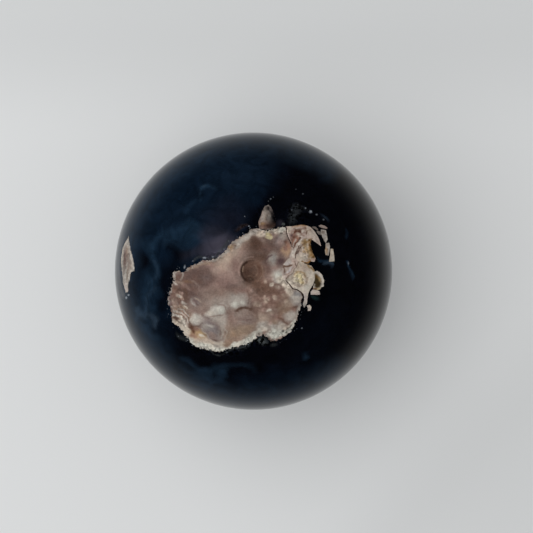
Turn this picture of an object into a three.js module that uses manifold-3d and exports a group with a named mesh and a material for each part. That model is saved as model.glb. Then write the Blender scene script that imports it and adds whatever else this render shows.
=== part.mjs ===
// A polished ball of volcano agate, in millimetres with +Z up.
// It is one piece of stone. The origin is the middle of the small flat spot that it rests on,
// and the exposed lining of its old gas pocket faces up.

import * as THREE from 'three';
import { mergeVertices } from 'three/addons/utils/BufferGeometryUtils.js';
import Module from 'manifold-3d';

const wasm = await Module();
wasm.setup();

// The ball and the flat spot under it
const ballRadius = 30;
const restRadius = 6;
const centreHeight = Math.sqrt(ballRadius ** 2 - restRadius ** 2);
const ballSubdivision = 13;

// The lining is laid out in plan: each place is [x, y] in the level plane through the ball's
// centre, and is carried up to the surface along the line of sight of an eye over the ball.
const eye = new THREE.Vector3(2.8, 1.0, 300);

// The lining's edge, counter-clockwise from its east side
const liningHub = new THREE.Vector2(-1.9, -3.0);
const liningEdge = [
  [8.6, 2.0], [8.4, 5.2], [7.5, 7.9], [7.0, 9.7], [4.9, 9.5], [3.1, 8.9],
  [1.2, 9.1], [-0.4, 8.9], [-1.4, 7.9], [-3.2, 6.8], [-5.0, 5.8], [-5.6, 4.5],
  [-7.2, 3.3], [-9.0, 2.4], [-12.5, 1.4], [-14.3, 0.8], [-15.1, -0.3], [-16.7, 0.1],
  [-17.6, -0.6], [-17.3, -2.1], [-18.4, -5.3], [-18.7, -7.1], [-18.4, -9.2], [-17.7, -11.1],
  [-16.4, -12.2], [-15.1, -13.7], [-13.8, -15.0], [-12.2, -16.1], [-7.7, -17.6], [-5.4, -17.2],
  [-3.2, -16.4], [-1.4, -15.3], [0.2, -14.4], [1.2, -13.9], [3.2, -14.0], [4.4, -15.0],
  [6.2, -14.3], [7.8, -13.2], [8.9, -11.6], [9.9, -9.0], [10.6, -5.8], [10.2, -4.5],
  [8.4, -3.5], [7.2, -1.9], [7.5, -0.2],
];
const edgeSteps = 108;
const ringCount = 15;

// How far polishing has worn the softer lining below the ball's surface
const edgeStep = 0.15;
const dishDepth = 0.4;
const dishReach = 6;
const leastDepth = 0.08;

// Soft hollows (+) and rounded lumps (-) of the lining: place, half-widths, turn and depth
const relief = {
  roundPit: { at: [-0.4, -0.1], half: [2.5, 2.7], turn: 0, depth: 0.9 },
  upperHollow: { at: [1.0, 6.0], half: [3.4, 2.2], turn: 0, depth: 0.45 },
  leftHollow: { at: [-11.4, -0.8], half: [3.4, 2.2], turn: 0, depth: 0.4 },
  southNotch: { at: [2.0, -13.8], half: [1.6, 1.0], turn: 0, depth: 0.5 },
  longWhiteLump: { at: [-8.0, -8.7], half: [2.4, 1.4], turn: 20, depth: -0.4 },
  roundWhiteLump: { at: [-3.5, -6.6], half: [2.0, 1.8], turn: 0, depth: -0.4 },
  smallWhiteLump: { at: [-12.5, -10.6], half: [1.5, 1.3], turn: 0, depth: -0.35 },
  lilacLump: { at: [-9.3, -12.4], half: [2.4, 1.5], turn: -30, depth: -0.4 },
  brownDome: { at: [-1.7, -10.6], half: [2.2, 2.2], turn: 0, depth: -0.4 },
  ringedLump: { at: [-13.0, -6.7], half: [1.2, 1.2], turn: 0, depth: -0.25 },
  greyLump: { at: [9.2, -5.8], half: [1.4, 1.3], turn: 0, depth: -0.3 },
  knobbyBank: { at: [3.6, -6.6], half: [4.5, 3.4], turn: 0, depth: -0.2 },
};

// Turns a closed geometry into a solid for cutting.
function solidOf(geometry) {
  const bare = geometry.clone();
  bare.deleteAttribute('normal');
  bare.deleteAttribute('uv');
  const merged = mergeVertices(bare, 1e-5);
  const vertProperties = new Float32Array(merged.attributes.position.array);
  const triVerts = new Uint32Array(merged.index.array);
  return new wasm.Manifold(new wasm.Mesh({ numProp: 3, vertProperties, triVerts }));
}

function geometryOf(solid) {
  const { vertProperties, triVerts } = solid.getMesh();
  const geometry = new THREE.BufferGeometry();
  geometry.setAttribute('position', new THREE.BufferAttribute(new Float32Array(vertProperties), 3));
  geometry.setIndex(new THREE.BufferAttribute(new Uint32Array(triVerts), 1));
  geometry.computeVertexNormals();
  return geometry;
}

// The direction from the ball's centre to the surface point that the eye sees at a plan place
function directionAt(x, y) {
  const sight = new THREE.Ray(eye, new THREE.Vector3(x, y, 0).sub(eye).normalize());
  const ball = new THREE.Sphere(new THREE.Vector3(), ballRadius);
  return sight.intersectSphere(ball, new THREE.Vector3()).normalize();
}

// A bell that is 1 at a feature's middle and fades out past its half-widths
function bell({ at, half, turn }, x, y) {
  const angle = THREE.MathUtils.degToRad(turn);
  const dx = x - at[0];
  const dy = y - at[1];
  const along = (dx * Math.cos(angle) + dy * Math.sin(angle)) / half[0];
  const across = (dy * Math.cos(angle) - dx * Math.sin(angle)) / half[1];
  return Math.exp(-(along ** 2 + across ** 2));
}

function liningDepth(x, y, distanceToEdge) {
  const dish = dishDepth * THREE.MathUtils.smoothstep(distanceToEdge, 0, dishReach);
  const shaped = Object.values(relief).reduce((depth, form) => depth + form.depth * bell(form, x, y), 0);
  return Math.max(leastDepth, edgeStep + dish + shaped);
}

// The closed solid that is taken out over the lining: a shaped floor, a wall and a peaked top
function liningCutter() {
  const clearance = 3;
  const peakHeight = 12;
  const corners = liningEdge.map(([x, y]) => new THREE.Vector3(x, y, 0));
  const edge = new THREE.CatmullRomCurve3(corners, true).getSpacedPoints(edgeSteps).slice(0, edgeSteps);
  const hubPeak = directionAt(liningHub.x, liningHub.y);

  const points = [hubPeak.clone().multiplyScalar(ballRadius - liningDepth(liningHub.x, liningHub.y, 99))];
  for (let ring = 1; ring <= ringCount; ring += 1) {
    const share = ring / ringCount;
    for (const corner of edge) {
      const x = THREE.MathUtils.lerp(liningHub.x, corner.x, share);
      const y = THREE.MathUtils.lerp(liningHub.y, corner.y, share);
      const distanceToEdge = Math.hypot(corner.x - x, corner.y - y);
      points.push(directionAt(x, y).multiplyScalar(ballRadius - liningDepth(x, y, distanceToEdge)));
    }
  }
  for (const corner of edge) {
    points.push(directionAt(corner.x, corner.y).multiplyScalar(ballRadius + clearance));
  }
  points.push(hubPeak.clone().multiplyScalar(ballRadius + peakHeight));

  const at = (ring, step) => 1 + (ring - 1) * edgeSteps + (step % edgeSteps);
  const wallTop = ringCount + 1;
  const peak = points.length - 1;
  const faces = [];
  for (let step = 0; step < edgeSteps; step += 1) {
    faces.push(0, at(1, step + 1), at(1, step));
    for (let ring = 1; ring < ringCount; ring += 1) {
      faces.push(at(ring, step), at(ring + 1, step + 1), at(ring + 1, step));
      faces.push(at(ring, step), at(ring, step + 1), at(ring + 1, step + 1));
    }
    faces.push(at(ringCount, step), at(ringCount, step + 1), at(wallTop, step + 1));
    faces.push(at(ringCount, step), at(wallTop, step + 1), at(wallTop, step));
    faces.push(peak, at(wallTop, step), at(wallTop, step + 1));
  }
  const geometry = new THREE.BufferGeometry().setFromPoints(points);
  geometry.setIndex(faces);
  return geometry;
}

// The block under the ball that grinds its flat spot
function restCutter() {
  const size = ballRadius;
  return new THREE.BoxGeometry(size, size, size).translate(0, 0, -centreHeight - size / 2);
}

function stoneGeometry() {
  const ball = solidOf(new THREE.IcosahedronGeometry(ballRadius, ballSubdivision));
  const stone = ball.subtract(solidOf(restCutter())).subtract(solidOf(liningCutter()));
  return geometryOf(stone);
}

const agate = new THREE.MeshStandardMaterial({ color: 0x0b1523, roughness: 0.12, metalness: 0 });
const stone = new THREE.Mesh(stoneGeometry(), agate);
stone.name = 'stone';
stone.position.z = centreHeight;

const volcanoAgate = new THREE.Group();
volcanoAgate.add(stone);

export default volcanoAgate;
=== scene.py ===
# %% [markdown]
# # A polished ball of volcano agate
# The real object is one lump of dark blue-black chalcedony, ground and polished to a ball, that
# shows the lining of an old gas pocket on top: cream, pink, mauve and brown, with crisp broken
# bits of it floating in the black stone at one side. Everything below is one piece of mesh and one
# material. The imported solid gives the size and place, and this script gives it its surface.

import bmesh
import bpy
import numpy as np
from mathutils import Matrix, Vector


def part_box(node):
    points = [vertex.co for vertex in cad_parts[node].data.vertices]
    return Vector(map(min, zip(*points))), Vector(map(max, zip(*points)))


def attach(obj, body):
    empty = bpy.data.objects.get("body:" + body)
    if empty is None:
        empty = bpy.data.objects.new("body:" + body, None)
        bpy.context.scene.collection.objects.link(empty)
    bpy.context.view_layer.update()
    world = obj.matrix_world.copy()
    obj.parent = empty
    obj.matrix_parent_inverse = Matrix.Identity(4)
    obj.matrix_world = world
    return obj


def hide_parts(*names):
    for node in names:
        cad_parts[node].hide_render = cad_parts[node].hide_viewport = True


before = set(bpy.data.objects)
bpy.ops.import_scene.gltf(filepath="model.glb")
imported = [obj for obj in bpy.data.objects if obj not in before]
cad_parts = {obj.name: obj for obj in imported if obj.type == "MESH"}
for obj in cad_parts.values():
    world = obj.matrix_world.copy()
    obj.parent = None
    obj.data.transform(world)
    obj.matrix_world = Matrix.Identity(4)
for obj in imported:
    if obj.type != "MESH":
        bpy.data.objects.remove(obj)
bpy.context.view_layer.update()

# %% [markdown]
# ## The ball and its flat spot
# The stone rests on a small spot ground flat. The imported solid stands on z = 0, so the ball's
# middle is one cathetus up: the other is the flat spot's radius. Lengths here are millimetres,
# because that is how such a stone is measured, and they become metres at the very end.

# %% Driving sizes
METRE = 1000.0
low, high = (np.array(corner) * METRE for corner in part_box("stone"))
BALL = (high[0] - low[0]) / 2
REST = 6.0
MIDDLE = float(np.sqrt(BALL**2 - REST**2))
EYE = np.array([2.8, 1.0, 300.0])
print("ball radius", round(BALL, 3), "middle height", round(MIDDLE, 3))

# %% [markdown]
# ## Finding places on the ball
# The lining is laid out as an eye over the ball sees it: each place is (x, y) in the level plane
# through the ball's middle. So a point of the ball has to be carried along the line of sight to
# that plane. A marking on the side, which that eye sees edge-on, is laid out on a little chart of
# its own, which unrolls the ball round one direction.

# %% Plan places and side charts
def plan_of(points):
    """Where the eye sees points of the ball, in the level plane through its middle."""
    reach = EYE[2] / (EYE[2] - points[:, 2])
    return EYE[:2] + (points[:, :2] - EYE[:2]) * reach[:, None]


def chart_of(points, azimuth, elevation):
    """Places along (counter-clockwise) and up the ball from one direction, in mm of its surface."""
    turn, lift = np.radians([azimuth, elevation])
    out = np.array([np.cos(turn) * np.cos(lift), np.sin(turn) * np.cos(lift), np.sin(lift)])
    along = np.array([-np.sin(turn), np.cos(turn), 0.0])
    up = np.cross(out, along)
    flat = points / np.linalg.norm(points, axis=1)[:, None]
    away = np.arccos(np.clip(flat @ out, -1, 1))
    stretch = BALL * away / np.maximum(np.sin(away), 1e-6)
    return np.stack([flat @ along * stretch, flat @ up * stretch], axis=1)


# %% [markdown]
# ## Brushes
# Three brushes paint every marking: an outline filled with how deep a place lies inside it, a soft
# oval blotch, and a stroke along a line. They answer for all points of the mesh at once, so numpy
# does the work, and what they paint becomes attributes that the material reads.

# %% The brushes
def smooth(low_edge, high_edge, value):
    """0 below one edge, 1 above the other, and a soft slope between them."""
    share = np.clip((value - low_edge) / (high_edge - low_edge), 0, 1)
    return share * share * (3 - 2 * share)


def rounded(corners, steps=5):
    """A closed smooth line through given corners (a Catmull-Rom spline)."""
    corners = np.array(corners, float)
    before, after = np.roll(corners, 1, axis=0), np.roll(corners, -1, axis=0)
    beyond = np.roll(corners, -2, axis=0)
    line = []
    for t in np.arange(steps) / steps:
        line.append(
            corners
            + 0.5 * t * (after - before)
            + t * t * (before - 2.5 * corners + 2 * after - 0.5 * beyond)
            + t**3 * (-0.5 * before + 1.5 * corners - 1.5 * after + 0.5 * beyond)
        )
    return np.stack(line, axis=1).reshape(-1, 2)


def line_distance(places, start, end):
    """How far places are from a straight line between two points."""
    run = np.asarray(end) - np.asarray(start)
    share = np.clip(((places - start) @ run) / (run @ run), 0, 1)
    return np.linalg.norm(places - start - share[:, None] * run, axis=1)


def depth_inside(places, corners):
    """How far places lie inside a closed outline, in mm, and below nought outside it."""
    corners = np.asarray(corners, float)
    nearest = np.full(len(places), np.inf)
    inside = np.zeros(len(places), bool)
    for start, end in zip(corners, np.roll(corners, -1, axis=0)):
        nearest = np.minimum(nearest, line_distance(places, start, end))
        rise = end[1] - start[1]
        if rise == 0:
            continue
        spans = (start[1] <= places[:, 1]) != (end[1] <= places[:, 1])
        crossing = start[0] + (places[:, 1] - start[1]) * (end[0] - start[0]) / rise
        inside ^= spans & (places[:, 0] < crossing)
    return np.where(inside, nearest, -nearest)


def stroke_distance(places, line):
    """How far places are from the nearest part of a line through many points."""
    return np.min([line_distance(places, a, b) for a, b in zip(line, line[1:])], axis=0)


def along_and_across(places, x, y, half_x, half_y, turn):
    """Where places lie along and across an oval, in half-widths of it."""
    angle = np.radians(turn)
    dx, dy = places[:, 0] - x, places[:, 1] - y
    along = (dx * np.cos(angle) + dy * np.sin(angle)) / half_x
    across = (dy * np.cos(angle) - dx * np.sin(angle)) / half_y
    return along, across


def oval(places, x, y, half_x, half_y, turn, soft):
    """1 in the middle of an oval blotch and 0 outside it, with an edge as soft as asked."""
    away = np.hypot(*along_and_across(places, x, y, half_x, half_y, turn))
    return 1 - smooth(1 - soft, 1 + soft, away)


# %% [markdown]
# ## The outlines
# The lining's outline is the one that the solid's shallow dish follows. The broken bits beside it
# are flush with the polish, so they are outlines too. Corners are listed one by one, counter-clockwise
# or clockwise alike, in mm in plan.

# %% The lining, the broken bits and the little triangle
LINING = [
    (8.6, 2.0), (8.4, 5.2), (7.5, 7.9), (6.9, 9.55), (4.9, 9.4), (3.0, 8.75), (1.2, 9.1), (-0.3, 9.2),
    (-1.5, 8.2), (-3.35, 7.1), (-5.15, 6.0), (-5.85, 4.6), (-7.35, 3.35), (-9.0, 2.45), (-10.9, 2.2),
    (-12.6, 1.5), (-14.3, 0.8), (-15.1, -0.3), (-16.7, 0.1), (-17.6, -0.6), (-17.4, -2.1), (-18.5, -5.0),
    (-18.5, -7.0), (-17.8, -9.0), (-17.7, -11.1), (-16.3, -12.15), (-15.05, -13.7), (-13.95, -15.2),
    (-12.3, -16.4), (-7.9, -17.45), (-5.7, -16.95), (-3.2, -16.5), (-1.3, -15.7), (0.25, -14.8),
    (1.4, -14.0), (3.0, -14.3), (4.1, -15.3), (6.3, -14.4), (7.9, -13.25), (9.0, -11.6), (9.9, -9.0),
    (10.6, -5.8), (10.2, -4.5), (8.4, -3.5), (7.2, -1.9), (7.5, -0.2),
]
ARCH = [
    (7.0, 9.7), (8.8, 9.8), (10.2, 10.1), (11.6, 9.9), (12.5, 9.5), (13.2, 8.7), (14.0, 7.5), (14.4, 6.5),
    (14.7, 5.4), (13.7, 6.1), (12.6, 6.9), (11.3, 6.8), (10.5, 6.6), (9.4, 5.4), (8.6, 4.6), (8.3, 5.3),
    (8.2, 6.2), (7.5, 7.6),
]
STRIP = [
    (10.8, 6.9), (10.4, 6.1), (9.9, 5.2), (9.4, 4.3), (9.15, 3.4), (8.95, 2.5), (7.9, 2.4), (7.9, 3.3),
    (8.3, 4.2), (8.9, 5.1), (9.5, 6.1), (10.0, 7.0),
]
RUSTY_BLOCK = [
    (10.4, 6.5), (11.3, 7.0), (12.6, 7.0), (12.4, 6.0), (12.5, 5.1), (12.8, 4.2), (13.1, 3.4), (13.5, 2.7),
    (13.2, 2.0), (12.3, 2.1), (11.9, 1.6), (11.1, 1.5), (10.6, 1.9), (9.7, 1.8), (9.0, 2.3), (9.2, 3.1),
    (9.45, 4.1), (9.95, 5.2),
]
LEAF = [
    (6.3, -1.0), (7.0, -2.1), (7.8, -1.4), (8.8, -0.4), (9.6, 1.0), (9.7, 1.9), (9.0, 2.6), (8.3, 3.0),
    (7.6, 2.6), (6.6, 1.4), (6.4, 0.2),
]
ORB_AND_TAIL = [
    (11.3, 1.6), (12.5, 1.2), (13.2, 0.2), (13.5, -0.8), (13.3, -1.9), (12.9, -3.0), (12.2, -4.1),
    (11.9, -4.9), (11.7, -6.0), (11.6, -7.0), (11.0, -8.0), (10.7, -7.3), (11.0, -6.2), (10.9, -5.1),
    (10.2, -4.4), (9.4, -4.0), (8.6, -3.9), (7.8, -3.0), (7.1, -2.1), (7.5, -1.5), (8.4, -0.6), (9.0, 0.3),
    (9.4, 1.3), (9.8, 2.0), (10.6, 1.9),
]
LOOP = [
    (13.2, -0.2), (13.8, 0.1), (14.4, -0.3), (14.9, -0.8), (15.1, -1.5), (15.4, -2.0), (15.2, -2.7),
    (15.3, -3.3), (14.7, -3.5), (14.5, -4.0), (13.8, -4.1), (12.9, -3.9), (13.0, -3.2), (13.3, -2.2),
    (13.4, -1.2),
]
CHIPS = [
    [(12.4, -4.4), (12.9, -4.0), (14.3, -4.3), (14.5, -5.1), (13.7, -5.2), (12.4, -5.1)],
    [(14.1, 9.9), (14.6, 10.1), (15.4, 9.9), (16.1, 9.4), (16.0, 9.2), (15.1, 9.3), (14.3, 9.6)],
    [(12.5, 9.7), (13.4, 9.7), (14.1, 9.1), (13.8, 8.9), (13.0, 9.3)],
    [(13.7, 8.8), (14.5, 8.6), (14.9, 7.8), (14.3, 7.9), (13.8, 8.3)],
    [(14.6, 9.1), (15.7, 8.9), (15.9, 8.1), (16.1, 6.9), (15.7, 6.1), (15.3, 6.6), (14.9, 7.5), (14.6, 8.5)],
    [(15.7, 6.1), (16.4, 6.2), (16.6, 5.6), (16.5, 4.3), (16.3, 3.4), (15.6, 3.5), (15.5, 4.5)],
    [(16.7, 4.9), (17.3, 4.8), (17.5, 3.5), (17.6, 2.1), (16.4, 2.0), (16.6, 3.4)],
    [(11.5, -7.5), (12.2, -7.3), (12.6, -7.8), (12.4, -8.6), (11.7, -8.7), (11.8, -8.1)],
    [(6.0, 10.0), (6.2, 10.6), (6.8, 10.4), (6.9, 9.9)],
]
TRIANGLE = [
    (2.4, 14.1), (3.2, 14.4), (3.8, 14.0), (4.4, 12.5), (4.8, 11.2), (4.9, 9.9), (3.9, 9.2), (2.7, 9.0),
    (1.2, 9.3), (1.0, 10.7), (1.6, 12.1), (2.0, 13.4),
]
BIT_OUTLINES = [ARCH, STRIP, RUSTY_BLOCK, LEAF, ORB_AND_TAIL, LOOP, TRIANGLE, *CHIPS]

SIDE_PATCH_AT = (176.0, 27.0)
SIDE_PATCH = [
    (-5.5, 0.0), (-3.7, 1.5), (-1.9, 3.1), (-0.1, 4.4), (1.0, 4.8), (1.6, 4.7), (2.0, 3.4), (3.7, 2.6),
    (4.6, 1.8), (6.0, 1.7), (6.4, 0.2), (5.4, -0.2), (4.3, -0.9), (2.6, -1.0), (0.8, -1.9), (-1.0, -2.4),
    (-3.1, -2.2),
]
print("outlines:", 2 + len(BIT_OUTLINES))

# %% [markdown]
# ## Motes
# A few specks of pale mineral float in the black stone, and one blue node. Most are smaller than the
# gaps between the ball's points would be, so the mesh has to be fine round each of them, and their
# places are needed before the faces are split.

# %% Motes in the dark stone
MOTES = [
    # x, y, half-widths, turn, cover
    (-10.7, 2.9, 0.36, 0.16, 0, 0.6), (-8.9, 3.1, 0.22, 0.13, 0, 0.7), (-15.0, 0.9, 0.16, 0.34, -15, 0.7),
    (-6.4, 4.7, 0.15, 0.12, 20, 0.5), (-1.94, 11.9, 0.1, 0.1, 0, 0.6), (-1.0, 9.8, 0.14, 0.1, 0, 0.6),
    (3.7, 15.7, 0.16, 0.12, 20, 0.5), (4.3, 16.1, 0.1, 0.08, 0, 0.3), (3.2, 15.2, 0.1, 0.1, 0, 0.3),
    (12.4, 12.9, 0.26, 0.24, 30, 1.0), (13.7, 12.3, 0.2, 0.13, 0, 0.6), (11.3, 13.7, 0.14, 0.12, 0, 0.5),
    (15.2, 11.2, 0.16, 0.14, 0, 0.4), (10.7, 16.8, 0.12, 0.1, 0, 0.35), (9.2, 17.8, 0.1, 0.1, 0, 0.2),
    (10.5, -12.4, 0.12, 0.12, 0, 0.7), (-16.4, -14.2, 0.1, 0.1, 0, 0.5), (20.6, 1.7, 0.1, 0.3, 0, 0.4),
    (-27.2, -5.2, 0.2, 0.16, 0, 0.8), (-27.7, -5.8, 0.2, 0.26, 0, 0.7), (9.6, 14.4, 0.12, 0.1, 0, 0.35),
    (8.3, 13.2, 0.12, 0.16, 0, 0.3), (-13.2, 2.2, 0.14, 0.1, 0, 0.4),
]
NODE_AT = (-9.9, 18.3)
print("motes:", len(MOTES))

# %% [markdown]
# ## A mesh that is fine where the eye is
# The polished ball is smooth, so edges about a millimetre long are enough for it. The lining has
# crisp edges and small lumps, so its faces are split again and again until their edges are about
# 0.14 mm. An ico-sphere is a good start, because all its triangles are nearly alike.

# %% Splitting the faces round the markings
SPLIT_REACHES, FLAT_CARE = (5.0, 1.6, 0.5), 0.12
MARKED_ABOVE, SIDE_REACH = 8.0, 14.0  # every outline lies higher, or is this near the side patch


def marking_depth(points):
    """How far points of the ball lie inside any marking, in mm, measured as the eye sees them."""
    facing = points[:, 2] > MARKED_ABOVE
    places = plan_of(points[facing])
    depth = np.full(len(points), -np.inf)
    outlines = [rounded(LINING, 2)] + BIT_OUTLINES
    to_motes = [-np.hypot(*(places - mote[:2]).T) for mote in [*MOTES, NODE_AT]]
    depth[facing] = np.max([depth_inside(places, outline) for outline in outlines] + to_motes, axis=0)
    beside = np.hypot(*chart_of(points, *SIDE_PATCH_AT).T) < SIDE_REACH
    places = chart_of(points[beside], *SIDE_PATCH_AT)
    depth[beside] = np.maximum(depth[beside], depth_inside(places, SIDE_PATCH))
    return depth


def split_faces(bm, reach):
    """Splits the faces whose middles lie closer to a marking than reach, and rounds the ball again."""
    middles = np.array([face.calc_center_median() for face in bm.faces])
    near = marking_depth(middles) > -reach
    near |= np.abs(middles[:, 2] + MIDDLE) < reach * FLAT_CARE
    for face, chosen in zip(bm.faces, near):
        face.tag = bool(chosen)
    edges = [edge for edge in bm.edges if any(face.tag for face in edge.link_faces)]
    bmesh.ops.subdivide_edges(bm, edges=edges, cuts=1, use_grid_fill=True)
    bmesh.ops.triangulate(bm, faces=[face for face in bm.faces if len(face.verts) > 3])
    for vertex in bm.verts:
        vertex.co = vertex.co.normalized() * BALL


bm = bmesh.new()
bmesh.ops.create_icosphere(bm, subdivisions=6, radius=BALL)
for reach in SPLIT_REACHES:
    split_faces(bm, reach)
    print("split within", reach, "mm:", len(bm.faces), "faces")
ball_mesh = bpy.data.meshes.new("ball")
bm.to_mesh(ball_mesh)
bm.free()
points = np.array([vertex.co for vertex in ball_mesh.vertices])

# %% [markdown]
# ## How far the lining is worn down
# The polish rides over the hard black stone and wears the softer lining a little deeper, so the
# lining lies in a dish a few tenths of a millimetre deep. It has soft hollows and rounded lumps of
# its own, the same as the solid has.

# %% The dish, its hollows and its lumps
EDGE_STEP, DISH, DISH_REACH, LEAST = 0.15, 0.5, 6.0, 0.08
WALL = (-0.05, 0.3)  # where the dish's wall starts, just outside the edge, and where it ends
PAINTED_ABOVE = -2.0  # what lies lower isn't seen from above
RELIEF = [
    # x, y, half-widths, turn, depth: the hollows
    (-0.4, -0.1, 2.5, 2.7, 0, 0.9), (1.0, 6.0, 3.4, 2.2, 0, 0.45), (-11.4, -0.8, 3.4, 2.2, 0, 0.4),
    (2.0, -13.8, 1.6, 1.0, 0, 0.5),
    # the lumps
    (-8.0, -8.7, 2.4, 1.4, 20, -0.4), (-3.5, -6.6, 2.0, 1.8, 0, -0.4), (-12.5, -10.6, 1.5, 1.3, 0, -0.35),
    (-9.3, -12.4, 2.4, 1.5, -30, -0.4), (-1.7, -10.6, 2.2, 2.2, 0, -0.4), (-13.0, -6.7, 1.2, 1.2, 0, -0.25),
    (9.2, -5.8, 1.4, 1.3, 0, -0.3), (3.6, -6.6, 4.5, 3.4, 0, -0.2),
]


def bell(places, *form):
    """A soft mound over an oval: 1 in its middle, and about a third at its edge."""
    along, across = along_and_across(places, *form)
    return np.exp(-(along**2 + across**2))


facing = points[:, 2] > PAINTED_ABOVE
places = plan_of(points[facing])
lining_depth = depth_inside(places, rounded(LINING))
worn = EDGE_STEP + DISH * smooth(0, DISH_REACH, lining_depth)
for *form, depth in RELIEF:
    worn = worn + depth * bell(places, *form)
worn = np.maximum(worn, LEAST) * smooth(*WALL, lining_depth)
print("worn down by up to", round(float(worn.max()), 2), "mm")

# %% [markdown]
# ## Cracks
# Two thin cracks part the lining from the broken bits, and more run between the bits. Each is a
# short line of a few points with its own width.

# %% The cracks
CRACKS = [
    # half-width, points
    (0.09, [(7.15, 9.5), (7.25, 8.2), (7.6, 7.2), (8.1, 6.2), (8.35, 5.3)]),
    (0.11, [(7.2, -2.2), (7.9, -3.0), (8.6, -3.9), (9.4, -4.0), (10.2, -4.5), (10.8, -5.1)]),
    (0.17, [(10.6, -5.1), (10.9, -5.7), (10.5, -6.4), (10.5, -7.0)]),
    (0.05, [(6.4, -2.1), (7.2, -2.2)]),
    (0.08, [(11.1, 1.75), (12.0, 1.45), (12.9, 1.6)]),
]
crack = np.min([stroke_distance(places, line) - width for width, line in CRACKS], axis=0)
print("cracks:", len(CRACKS))

# %% [markdown]
# ## The painter's tints
# Each tint is a mineral or a state of one: chalk-white crust, milky and lilac chalcedony, brown and
# mauve where the skin is thin, ochre and rust from iron. They are linear albedos.

# %% Tints of the skin and of the dark body
# soot, umber and redbrown also lay painted shade, on the round pit's wall and over the brown dome
TINTS = {
    "chalk": (0.58, 0.565, 0.49), "cream": (0.56, 0.485, 0.395), "milk": (0.47, 0.43, 0.38),
    "white": (0.66, 0.595, 0.51), "frost": (0.49, 0.425, 0.385), "pearl": (0.54, 0.48, 0.465),
    "petal": (0.49, 0.4, 0.345), "ash": (0.34, 0.3, 0.26), "beige": (0.43, 0.33, 0.258),
    "shell": (0.31, 0.245, 0.215), "drab": (0.165, 0.14, 0.12), "blush": (0.355, 0.24, 0.2),
    "rose": (0.255, 0.156, 0.132), "taupe": (0.25, 0.178, 0.148), "mauve": (0.128, 0.077, 0.064),
    "umber": (0.11, 0.062, 0.044), "soot": (0.044, 0.022, 0.015), "dusk": (0.022, 0.014, 0.012),
    "redbrown": (0.15, 0.082, 0.056), "brick": (0.245, 0.138, 0.108), "clay": (0.33, 0.15, 0.095),
    "tan": (0.295, 0.208, 0.148), "lilac": (0.215, 0.172, 0.165), "plum": (0.094, 0.052, 0.052),
    "copper": (0.41, 0.262, 0.165), "rust": (0.105, 0.04, 0.022), "ochre": (0.32, 0.195, 0.075),
    "gold": (0.44, 0.3, 0.14), "burnt": (0.13, 0.062, 0.008), "orange": (0.26, 0.12, 0.022),
    "buff": (0.57, 0.49, 0.29), "steel": (0.25, 0.238, 0.232), "moss": (0.062, 0.06, 0.044),
    "olive": (0.05, 0.034, 0.012), "peach": (0.49, 0.395, 0.32), "night": (0.001, 0.0013, 0.0028),
    "navy": (0.0028, 0.0078, 0.017), "marine": (0.0052, 0.012, 0.024), "smoke": (0.012, 0.029, 0.053),
    "pale_smoke": (0.028, 0.046, 0.07), "haze": (0.05, 0.046, 0.064), "dim": (0.011, 0.0095, 0.015),
    "slate": (0.05, 0.056, 0.056), "veil": (0.12, 0.118, 0.122), "teal": (0.01, 0.024, 0.026),
    "mote": (0.3, 0.33, 0.37),
}
print("tints:", len(TINTS))

# %% [markdown]
# ## Marks
# A blot is a soft oval of one tint, and a streak follows a line. They are laid on in order, as a
# painter would, over places that are first rippled a little, so that no oval stays a true one.

# %% Blots, streaks and the ripple
class Blot:
    def __init__(self, tint, x, y, half_x, half_y, turn=0, soft=0.6, cover=1.0):
        self.tint = tint
        self.oval = (x, y, half_x, half_y, turn, soft)
        self.cover = cover

    def mask(self, places):
        return oval(places, *self.oval) * self.cover


class Streak:
    def __init__(self, tint, half_width, soft, cover, *line):
        self.tint = tint
        self.half_width, self.soft = half_width, soft
        self.cover = cover
        self.line = line

    def mask(self, places):
        distance = stroke_distance(places, self.line) / self.half_width
        return (1 - smooth(1 - self.soft, 1 + self.soft, distance)) * self.cover


def arc(x, y, radius, first, last, steps=9):
    """Points along an arc, from one angle to another in degrees."""
    angles = np.radians(np.linspace(first, last, steps))
    return np.stack([x + radius * np.cos(angles), y + radius * np.sin(angles)], axis=1)


def waves(places, size, seed):
    """Nine crossing waves with a fixed seed: a soft field between about -1 and 1."""
    rng = np.random.default_rng(seed)
    total = np.zeros(len(places))
    for angle, stretch, phase in rng.uniform((0, 0.7, 0), (6.28, 1.5, 6.28), (9, 3)):
        total += np.sin((places @ [np.cos(angle), np.sin(angle)]) * 6.28 / (size * stretch) + phase)
    return total / 3


def rippled(places, size, reach, seed):
    """Places shifted a little this way and that, so that what is laid on them looks grown."""
    return places + reach * np.stack([waves(places, size, seed), waves(places, size, seed + 1)], axis=1)


def paint(colour, places, marks, within=1.0):
    """Lays marks over a ground colour, one after the other."""
    for mark in marks:
        share = (mark.mask(places) * within)[:, None]
        colour = colour + (np.array(TINTS[mark.tint]) - colour) * share
    return colour
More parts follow.
